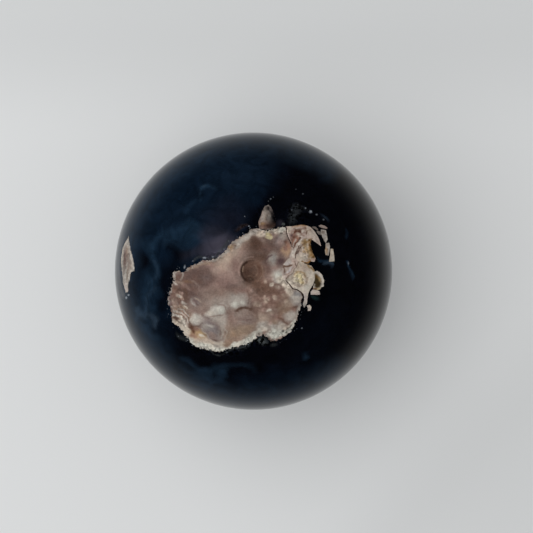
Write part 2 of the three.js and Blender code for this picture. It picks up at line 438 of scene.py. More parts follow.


# %% [markdown]
# ## The lining's smooth half
# Upper left, the lining is a smooth pink-brown skin with two mauve hollows and one round dark pit,
# where a bubble had grown; dark arcs on its left and top are painted shade of its wall. A light band
# follows the upper edge.

# %% Marks of the smooth half
SMOOTH_HALF = [
    Streak("beige", 1.6, 0.9, 0.95, (-7.6, 1.5), (-6.2, 2.2), (-4.8, 3.6), (-3.2, 5.4), (-1.8, 7.2)),
    Blot("blush", -5.4, 0.1, 2.6, 1.5, 10, 0.9, 0.8), Blot("blush", -8.6, 0.4, 1.2, 1.0, 0, 0.9, 0.4),
    Blot("rose", -10.2, 1.3, 2.2, 0.9, 5, 0.9, 0.8), Blot("rose", -6.4, -1.1, 1.6, 0.6, 0, 0.9, 0.4),
    Blot("rose", -7.0, -2.6, 3.2, 1.3, 0, 0.9, 0.9), Blot("rose", -4.0, 1.4, 0.9, 2.6, 10, 0.9, 0.8),
    Blot("mauve", -5.4, -3.6, 2.4, 0.8, -5, 0.9, 0.3), Blot("rose", -2.7, -4.4, 1.3, 0.8, 0, 0.9, 0.8),
    Blot("rose", -2.6, 4.2, 1.0, 1.6, -35, 0.9, 0.6), Blot("beige", -4.8, 3.6, 1.2, 0.8, 40, 0.9, 0.7),
    Blot("mauve", -5.2, -3.6, 1.6, 0.6, 0, 0.9, 0.6), Blot("beige", -7.0, 0.9, 1.6, 0.35, -25, 0.9, 0.5),
    Blot("blush", -8.8, -2.9, 0.5, 0.4, 0, 0.9, 0.6), Blot("mauve", -12.8, -1.4, 3.2, 2.3, -4, 0.55),
    Blot("mauve", -10.5, -1.6, 1.7, 1.9, 0, 0.7, 0.9), Blot("lilac", -10.6, -1.7, 1.1, 1.0, 0, 0.9, 0.25),
    Blot("umber", -12.9, -2.0, 1.6, 0.7, -15, 0.9, 0.5),
    Blot("mauve", -14.6, -2.0, 1.7, 1.2, -10, 0.8, 0.9), Blot("mauve", -14.0, -4.6, 2.7, 1.3, -15, 0.7),
    Blot("umber", -13.4, -3.9, 0.9, 0.5, -20, 0.8, 0.5),
    Blot("ochre", -14.9, -2.4, 1.1, 0.35, 0, 0.9, 0.22),
    Streak("taupe", 0.16, 0.8, 0.5, (-13.6, -2.2), (-12.8, -2.7), (-12.3, -3.4), (-12.1, -4.2)),
    Streak("blush", 0.2, 0.9, 0.5, (-16.6, -3.2), (-15.6, -3.0), (-14.6, -3.5), (-14.0, -4.3)),
    Blot("rose", -11.0, -4.2, 2.2, 0.6, 0, 0.9, 0.4), Blot("taupe", -9.2, -4.8, 2.6, 0.9, 0, 0.9, 0.7),
    Blot("tan", -13.4, 0.9, 1.4, 0.35, 18, 0.9, 0.6), Blot("blush", -11.2, 1.8, 1.2, 0.3, 5, 0.9, 0.5),
    # the upper hollow and what lies round it
    Blot("mauve", -0.3, 4.8, 1.5, 1.7, 0, 0.9, 0.6), Blot("blush", -1.9, 5.2, 0.8, 0.9, 0, 0.9, 0.5),
    Blot("umber", 1.4, 5.6, 3.3, 1.75, -8, 0.75), Blot("umber", 0.4, 7.0, 1.1, 0.8, 0, 0.8, 0.85),
    Blot("soot", 0.7, 5.5, 1.0, 1.0, 0, 0.9, 0.2), Blot("mauve", 3.4, 4.9, 1.8, 1.2, 0, 0.9, 0.8),
    Blot("brick", 2.9, 5.4, 0.7, 0.5, -20, 0.9, 0.35), Blot("umber", 1.6, 3.0, 2.4, 1.0, -3, 0.8),
    Blot("mauve", 3.2, 1.4, 1.0, 1.9, 0, 0.8, 0.75), Blot("taupe", 1.9, 6.8, 0.9, 0.35, -40, 0.9, 0.6),
    Blot("mauve", 4.2, 6.8, 1.3, 0.9, -15, 0.9, 0.6), Blot("taupe", 4.4, 7.6, 1.4, 0.5, 0, 0.9, 0.7),
    Blot("lilac", 5.7, 6.4, 0.9, 1.2, 10, 0.8, 0.9), Blot("blush", 5.8, 6.3, 0.6, 0.7, 0, 0.9, 0.5),
    Blot("mauve", 5.4, 4.9, 0.9, 0.9, 0, 0.9, 0.7), Blot("mauve", 4.9, 7.2, 0.4, 0.5, 0, 0.8, 0.4),
    Blot("ash", 6.5, 7.9, 0.7, 1.0, 0, 0.8, 0.8), Blot("rust", 6.85, 6.3, 0.35, 0.55, -25, 0.7, 0.8),
    Blot("copper", 7.2, 4.5, 0.95, 1.1, 10, 0.8), Blot("clay", 7.6, 5.6, 0.5, 0.9, 15, 0.8, 0.6),
    Blot("brick", 7.0, 5.0, 0.5, 0.75, 10, 0.6, 0.9), Blot("copper", 6.5, 4.6, 0.25, 0.7, 0, 0.7, 0.6),
]
# Painted shade: the soot and umber on the pit's left, lower left and top darken its wall.
ROUND_PIT = [
    Blot("redbrown", 0.2, 0.0, 2.4, 2.5, 0, 0.45, 0.9),
    Blot("redbrown", -0.4, -0.05, 2.5, 2.6, 0, 0.1, 0.8), Blot("umber", -1.0, 0.3, 1.5, 2.0, 0, 0.7, 0.75),
    # painted shade on the pit's top and lower left
    Blot("umber", 1.0, 3.1, 1.6, 0.5, 0, 0.8, 0.8), Blot("soot", -1.5, -0.7, 1.0, 1.2, 20, 0.8, 0.6),
    Blot("soot", -1.1, -2.1, 1.4, 0.55, 15, 0.7, 0.75), Blot("tan", -1.0, -1.1, 0.4, 0.1, 10, 0.8, 0.35),
    Blot("tan", -0.7, -1.8, 0.3, 0.08, 0, 0.8, 0.3),
    Streak("umber", 0.12, 0.9, 0.5, *arc(-0.7, 0.0, 1.2, -75, 75)),
    Streak("umber", 0.12, 0.9, 0.5, *arc(-0.5, 0.0, 1.9, -70, 80)),
    Streak("tan", 0.08, 0.9, 0.35, *arc(-0.6, 0.0, 1.55, -65, 60)),
    Streak("tan", 0.09, 0.9, 0.4, *arc(-0.4, 0.0, 2.5, -50, 30)),
    Blot("umber", -1.4, -2.9, 1.0, 0.5, 20, 0.8, 0.6), Blot("soot", 0.2, -1.1, 0.3, 0.5, 30, 0.9, 0.5),
    Blot("rust", 1.2, 0.2, 0.4, 0.9, 0, 0.9, 0.4),
    # painted shade: dark arcs along the pit's left wall
    Streak("soot", 0.14, 0.9, 0.55, *arc(-0.4, -0.05, 2.45, 80, 262)),
    Streak("soot", 0.26, 0.8, 0.85, *arc(-0.4, -0.05, 2.36, 120, 235)),
    Streak("tan", 0.12, 0.8, 0.8, *arc(-0.3, 0.1, 2.2, 155, 185, 4)),
    Streak("blush", 0.15, 0.8, 0.8, *arc(-0.4, 0.0, 2.95, 135, 200)),
    Streak("blush", 0.12, 0.8, 0.5, *arc(-0.4, 0.0, 3.2, 85, 130)),
]

# %% [markdown]
# ## The knobby bank and the pale right side
# Right of the pit the skin turns milky and lilac, and below it lies a brick-pink bank with pale
# knobs. The bank's foot is milky again, and chalk-white where it ends at the dark stone.

# %% Marks of the right side
RIGHT_SIDE = [
    Blot("ash", 4.3, 2.7, 0.9, 1.4, -10, 0.8, 0.85), Blot("steel", 4.4, 2.9, 0.5, 0.9, -10, 0.8, 0.4),
    Blot("rose", 4.7, 0.5, 0.9, 0.8, 0, 0.9, 0.5), Blot("mauve", 2.9, 0.9, 0.9, 1.6, 0, 0.8, 0.6),
    Streak("plum", 0.16, 0.8, 0.85, (2.9, 2.6), (3.5, 3.1), (4.1, 3.6)),
    Blot("plum", 5.95, 2.15, 1.0, 1.0, 0, 0.75, 0.95), Blot("mauve", 5.8, 3.6, 0.9, 0.7, 0, 0.9, 0.5),
    Blot("milk", 5.5, -0.9, 1.3, 1.1, 0, 0.7, 0.9), Blot("chalk", 5.6, -1.3, 1.2, 0.9, -30, 0.7),
    Blot("milk", 4.9, -1.8, 0.9, 0.6, -20, 0.8, 0.8), Blot("blush", 3.5, -1.5, 0.9, 0.8, 0, 0.9, 0.8),
    Blot("cream", 4.1, -0.9, 0.35, 0.3, 0, 0.8, 0.5), Blot("taupe", 2.6, -0.4, 0.25, 1.5, 5, 0.9, 0.6),
    Blot("ash", 6.5, -0.9, 0.8, 0.7, 0, 0.8, 0.5),
    # the bank
    Blot("brick", 4.6, -6.6, 4.6, 3.6, -15, 0.7, 0.62), Blot("redbrown", 1.4, -3.1, 2.5, 1.4, -15, 0.7),
    Blot("umber", 0.4, -2.7, 1.0, 0.5, -20, 0.8, 0.7), Blot("redbrown", 3.6, -4.4, 1.6, 0.7, -10, 0.9, 0.7),
    Blot("umber", 0.9, -4.6, 1.6, 0.7, -5, 0.9, 0.6), Blot("umber", 1.2, -4.1, 0.4, 0.3, 0, 0.8, 0.6),
    Blot("redbrown", 5.2, -7.6, 0.9, 0.5, 0, 0.9, 0.7), Blot("redbrown", 5.4, -5.0, 0.9, 0.4, 10, 0.9, 0.6),
    Blot("mauve", -0.2, -7.4, 0.6, 1.0, 0, 0.8, 0.6), Blot("tan", 7.2, -7.2, 1.6, 1.4, 0, 0.9, 0.8),
    Blot("beige", 2.2, -10.5, 1.7, 1.2, 0, 0.8, 0.7), Blot("brick", 5.6, -9.8, 1.3, 0.7, 30, 0.8, 0.8),
    Blot("brick", 3.9, -11.4, 0.5, 0.7, 0, 0.9, 0.6), Blot("tan", 6.6, -8.8, 1.2, 0.8, 20, 0.9, 0.7),
    Blot("rose", 4.3, -9.9, 0.9, 0.7, 0, 0.9, 0.6), Blot("beige", 2.8, -6.6, 0.65, 0.55, 0, 0.7, 0.95),
    Blot("beige", 0.7, -7.4, 0.75, 0.55, 0, 0.7, 0.9), Blot("white", 3.6, -8.7, 0.45, 0.4, 0, 0.5, 0.9),
    Blot("beige", 3.9, -9.4, 0.5, 0.4, 0, 0.8, 0.7), Blot("ash", 4.0, -8.9, 1.0, 0.9, 0, 0.9, 0.4),
    Blot("beige", 4.6, -5.8, 0.45, 0.42, 0, 0.7, 0.9), Blot("beige", 2.5, -5.7, 0.3, 0.35, 0, 0.7, 0.6),
    Blot("blush", -0.7, -4.4, 0.55, 0.5, 0, 0.7, 0.8), Blot("blush", 1.4, -6.0, 0.4, 0.4, 0, 0.8, 0.6),
    Blot("blush", 3.3, -7.6, 0.35, 0.3, 0, 0.8, 0.6), Blot("blush", -0.1, -6.4, 0.4, 0.5, 0, 0.8, 0.5),
    Blot("beige", 5.6, -8.5, 0.5, 0.35, 30, 0.8, 0.5), Blot("beige", 6.5, -5.3, 0.5, 0.4, 0, 0.8, 0.6),
    Blot("beige", 7.4, -7.2, 0.9, 0.7, 0, 0.8, 0.8), Blot("beige", 7.4, -5.1, 0.6, 0.4, -30, 0.8, 0.6),
    Blot("blush", 6.4, -6.5, 0.5, 0.6, 0, 0.8, 0.6), Blot("blush", 2.0, -8.6, 0.6, 0.4, 0, 0.8, 0.6),
    Blot("cream", 5.2, -3.5, 0.5, 0.35, 0, 0.8, 0.4), Blot("cream", 3.95, -2.9, 0.5, 0.45, 0, 0.35),
    Blot("umber", 3.3, -3.1, 0.25, 0.5, 0, 0.8, 0.6), Blot("beige", 2.6, -2.3, 0.3, 0.4, 0, 0.8, 0.6),
    Blot("brick", 1.9, -2.2, 0.4, 0.5, 0, 0.8, 0.6),
    # the right edge
    Blot("milk", 9.2, -6.1, 1.3, 1.2, 0, 0.6, 0.9), Blot("steel", 9.6, -5.0, 1.0, 0.5, -28, 0.6, 0.85),
    Blot("milk", 8.9, -5.3, 0.6, 0.3, -20, 0.7, 0.6), Blot("lilac", 9.6, -7.2, 0.8, 0.4, 0, 0.8, 0.6),
    Blot("umber", 9.1, -7.8, 0.9, 0.32, 20, 0.7, 0.9), Blot("brick", 8.7, -8.4, 0.7, 0.6, 0, 0.9, 0.6),
    Streak("cream", 0.75, 0.6, 0.95, (5.8, -1.8), (6.8, -2.7), (7.4, -3.6), (7.9, -4.5)),
    Blot("milk", 8.0, -9.8, 1.3, 1.0, 20, 0.5, 0.85),
    Streak("ash", 0.3, 0.6, 0.8, (10.1, -7.4), (9.5, -9.0), (9.1, -10.4)),
    Streak("redbrown", 0.22, 0.8, 0.8, (5.7, -10.2), (6.5, -10.6), (6.7, -11.3), (7.4, -11.5)),
    # the milky foot
    Blot("milk", 1.8, -12.1, 1.5, 0.9, 15, 0.6, 0.9), Blot("white", 2.2, -12.7, 1.0, 0.6, 10),
    Blot("milk", 5.1, -12.4, 1.7, 1.1), Blot("tan", 4.6, -11.2, 0.8, 0.5, 0, 0.8, 0.7),
    Blot("chalk", 4.8, -13.6, 1.9, 0.8, 10, 0.5), Blot("blush", 3.7, -11.4, 0.35, 0.5, 0, 0.9, 0.7),
    Blot("cream", 6.2, -11.9, 0.6, 0.3, 10, 0.7, 0.7),
    Streak("chalk", 0.42, 0.5, 0.9, (9.1, -10.9), (8.4, -12.1), (7.7, -13.0), (6.6, -13.6), (5.4, -14.0),
           (4.2, -14.7)),
    Streak("umber", 0.1, 0.8, 0.8, (8.6, -11.5), (8.0, -12.3), (7.2, -12.8)),
    Streak("cream", 0.2, 0.7, 0.8, (8.3, -11.5), (7.6, -12.2), (6.6, -12.6)),
    Blot("moss", 7.1, -13.45, 0.32, 0.3, 0, 0.5, 0.95), Blot("moss", 6.4, -13.0, 0.3, 0.2, 30, 0.6, 0.8),
    Streak("chalk", 0.4, 0.6, 0.9, (-1.6, -14.3), (-0.4, -14.1), (0.6, -13.6), (1.4, -13.2)),
]

# %% [markdown]
# ## The lumps
# The lower left is milky chalcedony that grew in lumps, each with a bright heart, a fine pale line
# round it and a dark seam where it meets its neighbour. Two are lilac and brown instead, and the
# dark arc over the brown one is painted shade.

# %% Marks of the lumps
LUMPS = [
    Blot("ash", -6.4, -6.5, 3.4, 1.2, 10, 0.9, 0.5), Blot("redbrown", -7.9, -4.7, 2.4, 1.0, 5, 0.9, 0.3),
    Blot("milk", -3.2, -6.8, 2.0, 1.7, -10, 0.6, 0.55), Blot("ash", -3.3, -6.0, 1.5, 0.8, 0, 0.9, 0.5),
    Blot("redbrown", -3.3, -4.4, 1.8, 0.8, 8, 0.9, 0.32),
    Blot("chalk", -4.1, -7.4, 0.8, 0.6, 10, 0.8, 0.85), Blot("chalk", -2.4, -6.9, 0.5, 0.5, 0, 0.8, 0.6),
    Streak("umber", 0.14, 0.9, 0.6, (-1.6, -4.6), (-1.0, -5.4), (-0.9, -6.6), (-1.2, -7.5)),
    # the long white one and the pale skin below it
    Blot("milk", -7.7, -8.55, 1.85, 1.15, 15, 0.45, 0.95),
    Blot("milk", -9.4, -9.3, 1.3, 0.65, 25, 0.6, 0.9), Blot("chalk", -7.2, -8.7, 1.0, 0.75, 0, 0.8, 0.6),
    Blot("cream", -9.5, -9.3, 0.9, 0.5, 10, 0.8, 0.6), Blot("ash", -8.6, -7.9, 1.2, 0.25, 20, 0.9, 0.4),
    Blot("milk", -8.0, -9.9, 1.8, 0.7, 0, 0.8, 0.75), Blot("milk", -7.3, -11.0, 1.7, 1.0, -35, 0.9, 0.85),
    Blot("ash", -9.4, -10.6, 1.0, 0.4, -15, 0.8, 0.7),
    Streak("taupe", 0.14, 0.9, 0.8, (-9.4, -10.0), (-8.2, -9.85), (-6.8, -9.8)),
    Streak("brick", 0.6, 1.0, 0.45, (-5.6, -9.3), (-5.2, -10.3), (-5.2, -11.6), (-5.2, -12.8)),
    Streak("taupe", 0.14, 0.9, 0.8, (-8.0, -7.3), (-6.6, -7.6), (-5.9, -8.5), (-5.4, -9.3)),
    Streak("umber", 0.14, 0.9, 0.7, (-11.4, -9.4), (-10.7, -10.2), (-9.9, -10.7)),
    # the small white one
    Blot("milk", -12.6, -10.6, 1.6, 1.2, 0, 0.45, 0.95), Blot("chalk", -13.0, -10.5, 0.8, 0.7, 0, 0.9, 0.3),
    Blot("cream", -11.7, -10.9, 0.6, 0.5, 0, 0.8, 0.4), Blot("rose", -12.9, -9.0, 1.2, 0.35, 0, 0.9, 0.4),
    Streak("redbrown", 0.22, 0.8, 0.75, (-14.3, -10.2), (-14.0, -11.5), (-13.4, -12.3), (-12.1, -12.1),
           (-11.4, -11.5)),
    # the lilac one, with pale strands to its right
    Blot("lilac", -9.3, -12.8, 2.7, 1.6, -45, 0.7), Blot("steel", -9.3, -12.8, 1.6, 0.9, -42, 0.8, 0.25),
    Blot("ash", -10.6, -12.2, 0.9, 0.6, -30, 0.7, 0.7),
    Blot("milk", -9.6, -11.9, 0.75, 0.28, -15, 0.8, 0.75),
    Blot("taupe", -8.9, -14.2, 0.9, 0.6, -20, 0.8, 0.8),
    Blot("umber", -8.4, -15.1, 0.8, 0.22, -20, 0.8, 0.8), Blot("ash", -7.0, -13.4, 0.7, 1.7, -15, 0.8, 0.6),
    Streak("tan", 0.7, 1.0, 0.4, (-5.4, -12.0), (-5.2, -13.4), (-5.6, -14.8)),
    Streak("ash", 0.22, 0.8, 0.9, (-7.6, -11.8), (-6.9, -12.8), (-6.8, -13.8), (-7.2, -14.8)),
    Streak("ash", 0.2, 0.8, 0.9, (-6.4, -12.5), (-6.0, -13.8), (-6.2, -15.0), (-7.0, -15.9)),
    Streak("ash", 0.14, 0.8, 0.7, (-5.4, -13.6), (-5.4, -14.6), (-5.9, -15.2)),
    Blot("mauve", -7.3, -13.6, 0.2, 0.7, 0, 0.8, 0.6), Blot("mauve", -6.4, -13.6, 0.22, 0.4, 10, 0.8, 0.6),
    Streak("milk", 0.13, 0.9, 0.4, (-11.4, -12.6), (-10.7, -13.5), (-9.9, -14.4), (-9.1, -15.1),
           (-7.9, -15.6)),
    # the brown dome under a dark arc of painted shade, over its top and down its right side
    Blot("taupe", -1.9, -10.7, 2.5, 2.4, 0, 0.3, 0.9), Blot("ash", -3.0, -9.5, 1.1, 0.6, 20, 0.9, 0.2),
    Blot("lilac", -1.8, -10.9, 1.4, 1.0, 0, 0.9, 0.35), Blot("tan", -1.0, -12.3, 1.5, 0.7, 10, 0.9, 0.7),
    Streak("mauve", 0.1, 0.9, 0.4, (-3.7, -10.7), (-2.0, -10.55), (-0.5, -10.8)),
    Streak("ash", 0.1, 0.9, 0.35, (-3.6, -11.2), (-2.0, -11.1), (-0.4, -11.4)),
    Streak("mauve", 0.09, 0.9, 0.3, (-3.2, -12.0), (-1.8, -12.0), (-0.6, -12.4)),
    Streak("umber", 0.3, 0.8, 1.0, *arc(-1.9, -10.6, 2.6, 140, 60)),
    Streak("umber", 0.26, 0.9, 0.5, *arc(-1.8, -10.7, 2.7, 60, 15)),
    Streak("redbrown", 0.24, 0.9, 0.25, *arc(-1.9, -10.6, 2.7, 5, -50)),
    Streak("blush", 0.16, 0.9, 0.5, (-4.6, -9.2), (-4.4, -10.6), (-4.0, -12.0)),
    # warm skin between the dome and the crust
    Blot("tan", -3.2, -13.5, 2.8, 1.3, 12, 0.8), Blot("copper", -4.6, -13.9, 0.9, 0.5, 20, 0.9, 0.3),
    Blot("beige", -2.6, -14.5, 1.2, 0.4, 20, 0.9, 0.6), Blot("tan", -5.4, -15.7, 1.0, 0.9, 30, 0.6, 0.9),
    Blot("brick", -5.6, -15.9, 0.8, 0.7, 30, 0.8, 0.8),
    # the ringed lump
    Blot("lilac", -12.9, -6.7, 1.2, 0.95, -40, 0.5, 0.7),
    Blot("plum", -12.8, -6.4, 0.6, 0.3, -35, 0.8, 0.5),
    Streak("milk", 0.22, 0.8, 0.55, (-14.0, -6.3), (-13.7, -7.0), (-13.1, -7.5)),
    Streak("beige", 0.13, 0.9, 0.7, (-13.3, -5.9), (-12.4, -6.2), (-11.6, -6.8)),
    Streak("mauve", 0.12, 0.9, 0.7, (-13.4, -6.4), (-12.6, -7.0), (-12.3, -7.6)),
]

# %% [markdown]
# ## The rough left end and the crust
# The left end is knobby and torn, with fine pale bands at its lower side. A cream crust follows the
# whole lower edge, chalk-white at its outer rim and peach or orange where iron has stained it.

# %% Marks of the left end and the crust
LEFT_END = [
    Blot("mauve", -16.0, -5.4, 2.1, 2.7, 0, 0.6, 0.85), Blot("umber", -15.1, -5.3, 0.7, 1.0, 0, 0.8, 0.6),
    Blot("umber", -16.5, -4.0, 0.9, 0.3, -25, 0.8, 0.7),
    Blot("redbrown", -17.5, -4.0, 0.5, 0.6, 0, 0.8, 0.7),
    Blot("beige", -16.35, -5.6, 0.9, 0.42, -38, 0.7, 0.9),
    Blot("milk", -16.5, -5.5, 0.5, 0.22, -38, 0.8, 0.9),
    Blot("blush", -16.0, -4.75, 0.55, 0.28, -40, 0.6, 0.9),
    Blot("milk", -15.45, -6.9, 0.7, 0.34, -35, 0.5, 0.95),
    Blot("brick", -16.0, -6.3, 0.45, 0.3, 0, 0.8, 0.7), Blot("brick", -15.9, -7.2, 0.3, 0.2, 0, 0.8, 0.8),
    Blot("taupe", -17.3, -7.0, 0.6, 0.9, 0, 0.7, 0.9), Blot("beige", -17.3, -7.6, 0.4, 0.3, 0, 0.8, 0.5),
    Blot("beige", -16.3, -7.7, 0.4, 0.3, 0, 0.8, 0.6), Blot("tan", -15.3, -8.0, 0.6, 0.4, -30, 0.8, 0.6),
    Blot("beige", -17.7, -6.2, 0.25, 0.5, 0, 0.8, 0.5), Blot("rose", -17.4, -5.2, 0.4, 0.5, 0, 0.8, 0.6),
    Streak("plum", 0.45, 0.8, 0.7, (-18.4, -4.6), (-18.6, -6.4), (-18.2, -8.4)),
    # the tab above it
    Blot("mauve", -16.4, -1.3, 0.9, 1.0, 0, 0.6, 0.9), Blot("taupe", -16.0, -0.4, 0.5, 0.3, 0, 0.8, 0.6),
    Streak("milk", 0.2, 0.8, 0.7, (-17.5, -0.5), (-17.2, -1.2), (-17.4, -2.0), (-17.0, -3.0)),
    Streak("milk", 0.16, 0.8, 0.5, (-15.5, 0.0), (-15.4, -0.6), (-15.7, -1.3), (-16.0, -1.8)),
    Streak("cream", 0.14, 0.7, 0.7, (-17.2, -0.1), (-16.6, 0.1), (-15.7, 0.0)),
    Blot("beige", -16.5, -2.4, 0.7, 0.3, -20, 0.9, 0.5), Blot("umber", -16.9, -1.6, 0.2, 0.4, 0, 0.8, 0.6),
    # fine bands
    Blot("tan", -15.9, -9.6, 1.8, 1.6, -40, 0.7, 0.7), Blot("umber", -17.0, -10.5, 0.4, 0.6, 30, 0.6, 0.95),
    Streak("chalk", 0.26, 0.7, 0.75, (-17.7, -9.6), (-16.9, -9.7), (-16.1, -10.1), (-15.4, -10.9),
           (-14.9, -11.8)),
    Streak("milk", 0.16, 0.8, 0.75, (-17.4, -8.7), (-16.4, -8.9), (-15.4, -9.6), (-14.6, -10.6),
           (-14.2, -11.4)),
    Streak("milk", 0.13, 0.7, 0.9, (-16.5, -8.3), (-15.6, -8.5), (-14.9, -9.2), (-14.4, -9.9)),
    Streak("rose", 0.1, 0.8, 0.7, (-16.0, -8.8), (-15.3, -9.3), (-14.8, -10.0)),
    Streak("rose", 0.09, 0.8, 0.7, (-16.9, -9.3), (-15.9, -9.7), (-15.0, -10.7), (-14.4, -11.7)),
    Streak("cream", 0.14, 0.7, 0.8, (-15.2, -7.7), (-14.6, -8.4)),
]
CRUST = [
    Streak("cream", 0.95, 0.4, 1.0, (-17.4, -11.5), (-16.0, -11.6), (-15.0, -12.5), (-14.4, -13.7),
           (-13.3, -14.8)),
    Streak("cream", 1.05, 0.35, 1.0, (-13.3, -14.8), (-11.8, -15.4), (-10.0, -16.0), (-8.4, -16.6),
           (-6.4, -16.9)),
    Streak("chalk", 0.55, 0.6, 1.0, (-14.0, -14.9), (-12.2, -16.0), (-10.2, -16.6), (-8.0, -17.1),
           (-5.6, -17.0)),
    Blot("peach", -10.6, -15.1, 1.7, 0.5, -15, 0.9, 0.6),
    Blot("ash", -8.0, -16.3, 0.8, 0.38, -10, 0.7, 0.9),
    Streak("ash", 0.09, 0.9, 0.6, (-10.0, -15.6), (-9.0, -16.2), (-8.2, -16.6)),
    Blot("milk", -15.4, -11.3, 0.9, 0.7, -40, 0.8, 0.4),
    Streak("ash", 0.1, 0.9, 0.6, (-15.8, -10.9), (-14.8, -12.2), (-14.3, -13.2)),
    Blot("gold", -12.2, -13.8, 1.6, 0.9, -22), Blot("copper", -12.8, -13.7, 1.0, 0.6, -22, 0.8, 0.8),
    Blot("beige", -11.6, -14.8, 1.3, 0.4, -15, 0.9, 0.5),
    Streak("rust", 0.4, 0.8, 0.9, (-13.7, -12.4), (-13.3, -13.1), (-13.4, -13.9)),
    Blot("brick", -12.6, -12.9, 0.8, 0.3, -20, 0.8, 0.7),
    Blot("copper", -13.2, -14.2, 0.9, 0.5, -20, 0.7, 0.9),
    Blot("brick", -13.2, -14.2, 0.7, 0.35, -10, 0.8, 0.7),
    Blot("brick", -12.6, -12.8, 0.5, 0.25, -20, 0.7, 0.8),
    Blot("white", -11.4, -14.1, 0.55, 0.3, -25, 0.7, 0.9),
    Blot("rust", -10.7, -14.1, 0.3, 0.2, 0, 0.8, 0.4),
    Streak("chalk", 0.6, 0.45, 1.0, (-5.0, -16.7), (-4.0, -16.1), (-3.0, -15.9), (-2.0, -15.6),
           (-1.0, -15.1), (0.0, -14.6)),
    Streak("milk", 0.2, 0.7, 0.8, (-6.9, -16.8), (-5.9, -16.8), (-4.9, -16.9)),
    Streak("cream", 0.12, 0.8, 0.7, (-6.6, -16.0), (-6.0, -16.5), (-5.0, -16.3)),
    Blot("umber", -17.0, -10.5, 0.5, 0.5, 30, 0.7, 0.9),
    Streak("umber", 0.12, 0.8, 0.7, (-16.6, -11.0), (-15.8, -11.3)),
    Blot("milk", -16.9, -9.6, 0.5, 0.3, -20, 0.7, 0.8), Blot("tan", -5.9, -16.1, 0.9, 0.6, 30, 0.7, 0.9),
    Blot("redbrown", -5.8, -16.3, 0.5, 0.35, 20, 0.8, 0.6),
    Blot("tan", -12.8, -15.4, 0.9, 0.4, -40, 0.8, 0.6),
    Blot("beige", -12.2, -15.0, 0.8, 0.4, -30, 0.8, 0.5),
    # the crumbly upper rim
    Streak("ash", 0.55, 0.7, 0.9, (-1.4, 7.8), (-0.2, 8.6), (1.2, 8.8)),
    Streak("cream", 0.5, 0.6, 0.9, (1.2, 8.5), (2.4, 8.2), (3.4, 8.6), (4.6, 8.9), (5.8, 9.1), (7.0, 9.2)),
    Streak("milk", 0.5, 0.8, 0.75, (-3.4, 6.0), (-2.2, 7.1), (-0.8, 8.1)),
    Blot("cream", 1.9, 8.2, 1.0, 0.6, 0, 0.7, 0.8), Blot("chalk", 6.2, 9.1, 0.75, 0.45, 0, 0.5),
    Blot("taupe", 4.2, 8.2, 0.5, 0.25, 0, 0.8, 0.6), Blot("moss", 0.0, 8.7, 0.3, 0.15, 0, 0.8, 0.6),
    Blot("moss", 6.2, 8.4, 0.25, 0.15, 0, 0.8, 0.7), Blot("moss", 5.5, 9.3, 0.2, 0.12, 0, 0.8, 0.6),
    Blot("buff", 3.2, 8.15, 0.55, 0.4, -30, 0.4), Blot("buff", 3.6, 7.5, 0.35, 0.4, 0, 0.5, 0.9),
    Blot("buff", 3.05, 7.35, 0.4, 0.28, 0, 0.5, 0.8), Blot("ochre", 3.65, 8.0, 0.25, 0.2, 0, 0.6, 0.7),
    Blot("ochre", -5.2, 5.3, 0.6, 0.6, 0, 0.7, 0.6), Blot("ash", -4.3, 6.2, 0.6, 0.3, 20, 0.7, 0.8),
    Blot("milk", -3.8, 5.2, 0.4, 0.2, 20, 0.7, 0.6), Blot("umber", -4.4, 5.6, 0.3, 0.3, 0, 0.8, 0.6),
    Streak("ash", 0.22, 0.8, 0.8, (-9.0, 2.1), (-7.6, 2.8), (-6.4, 3.6), (-5.6, 4.5)),
    Streak("tan", 0.3, 0.8, 0.7, (-13.0, 1.2), (-11.4, 1.7), (-9.6, 1.8)),
]

# %% [markdown]
# ## The broken bits
# Bits of the skin broke off before the stone had grown shut, and lie in it like a jigsaw: an arch,
# a white strip, a rusty block, a leaf with a lilac stripe, a round bit with a yellow grainy heart
# and a tail, a small loop, a triangle above the lining, and chips. Each has its own ground tint and
# marks. The chips share one list of marks, because a mark is only laid inside a bit's own outline.

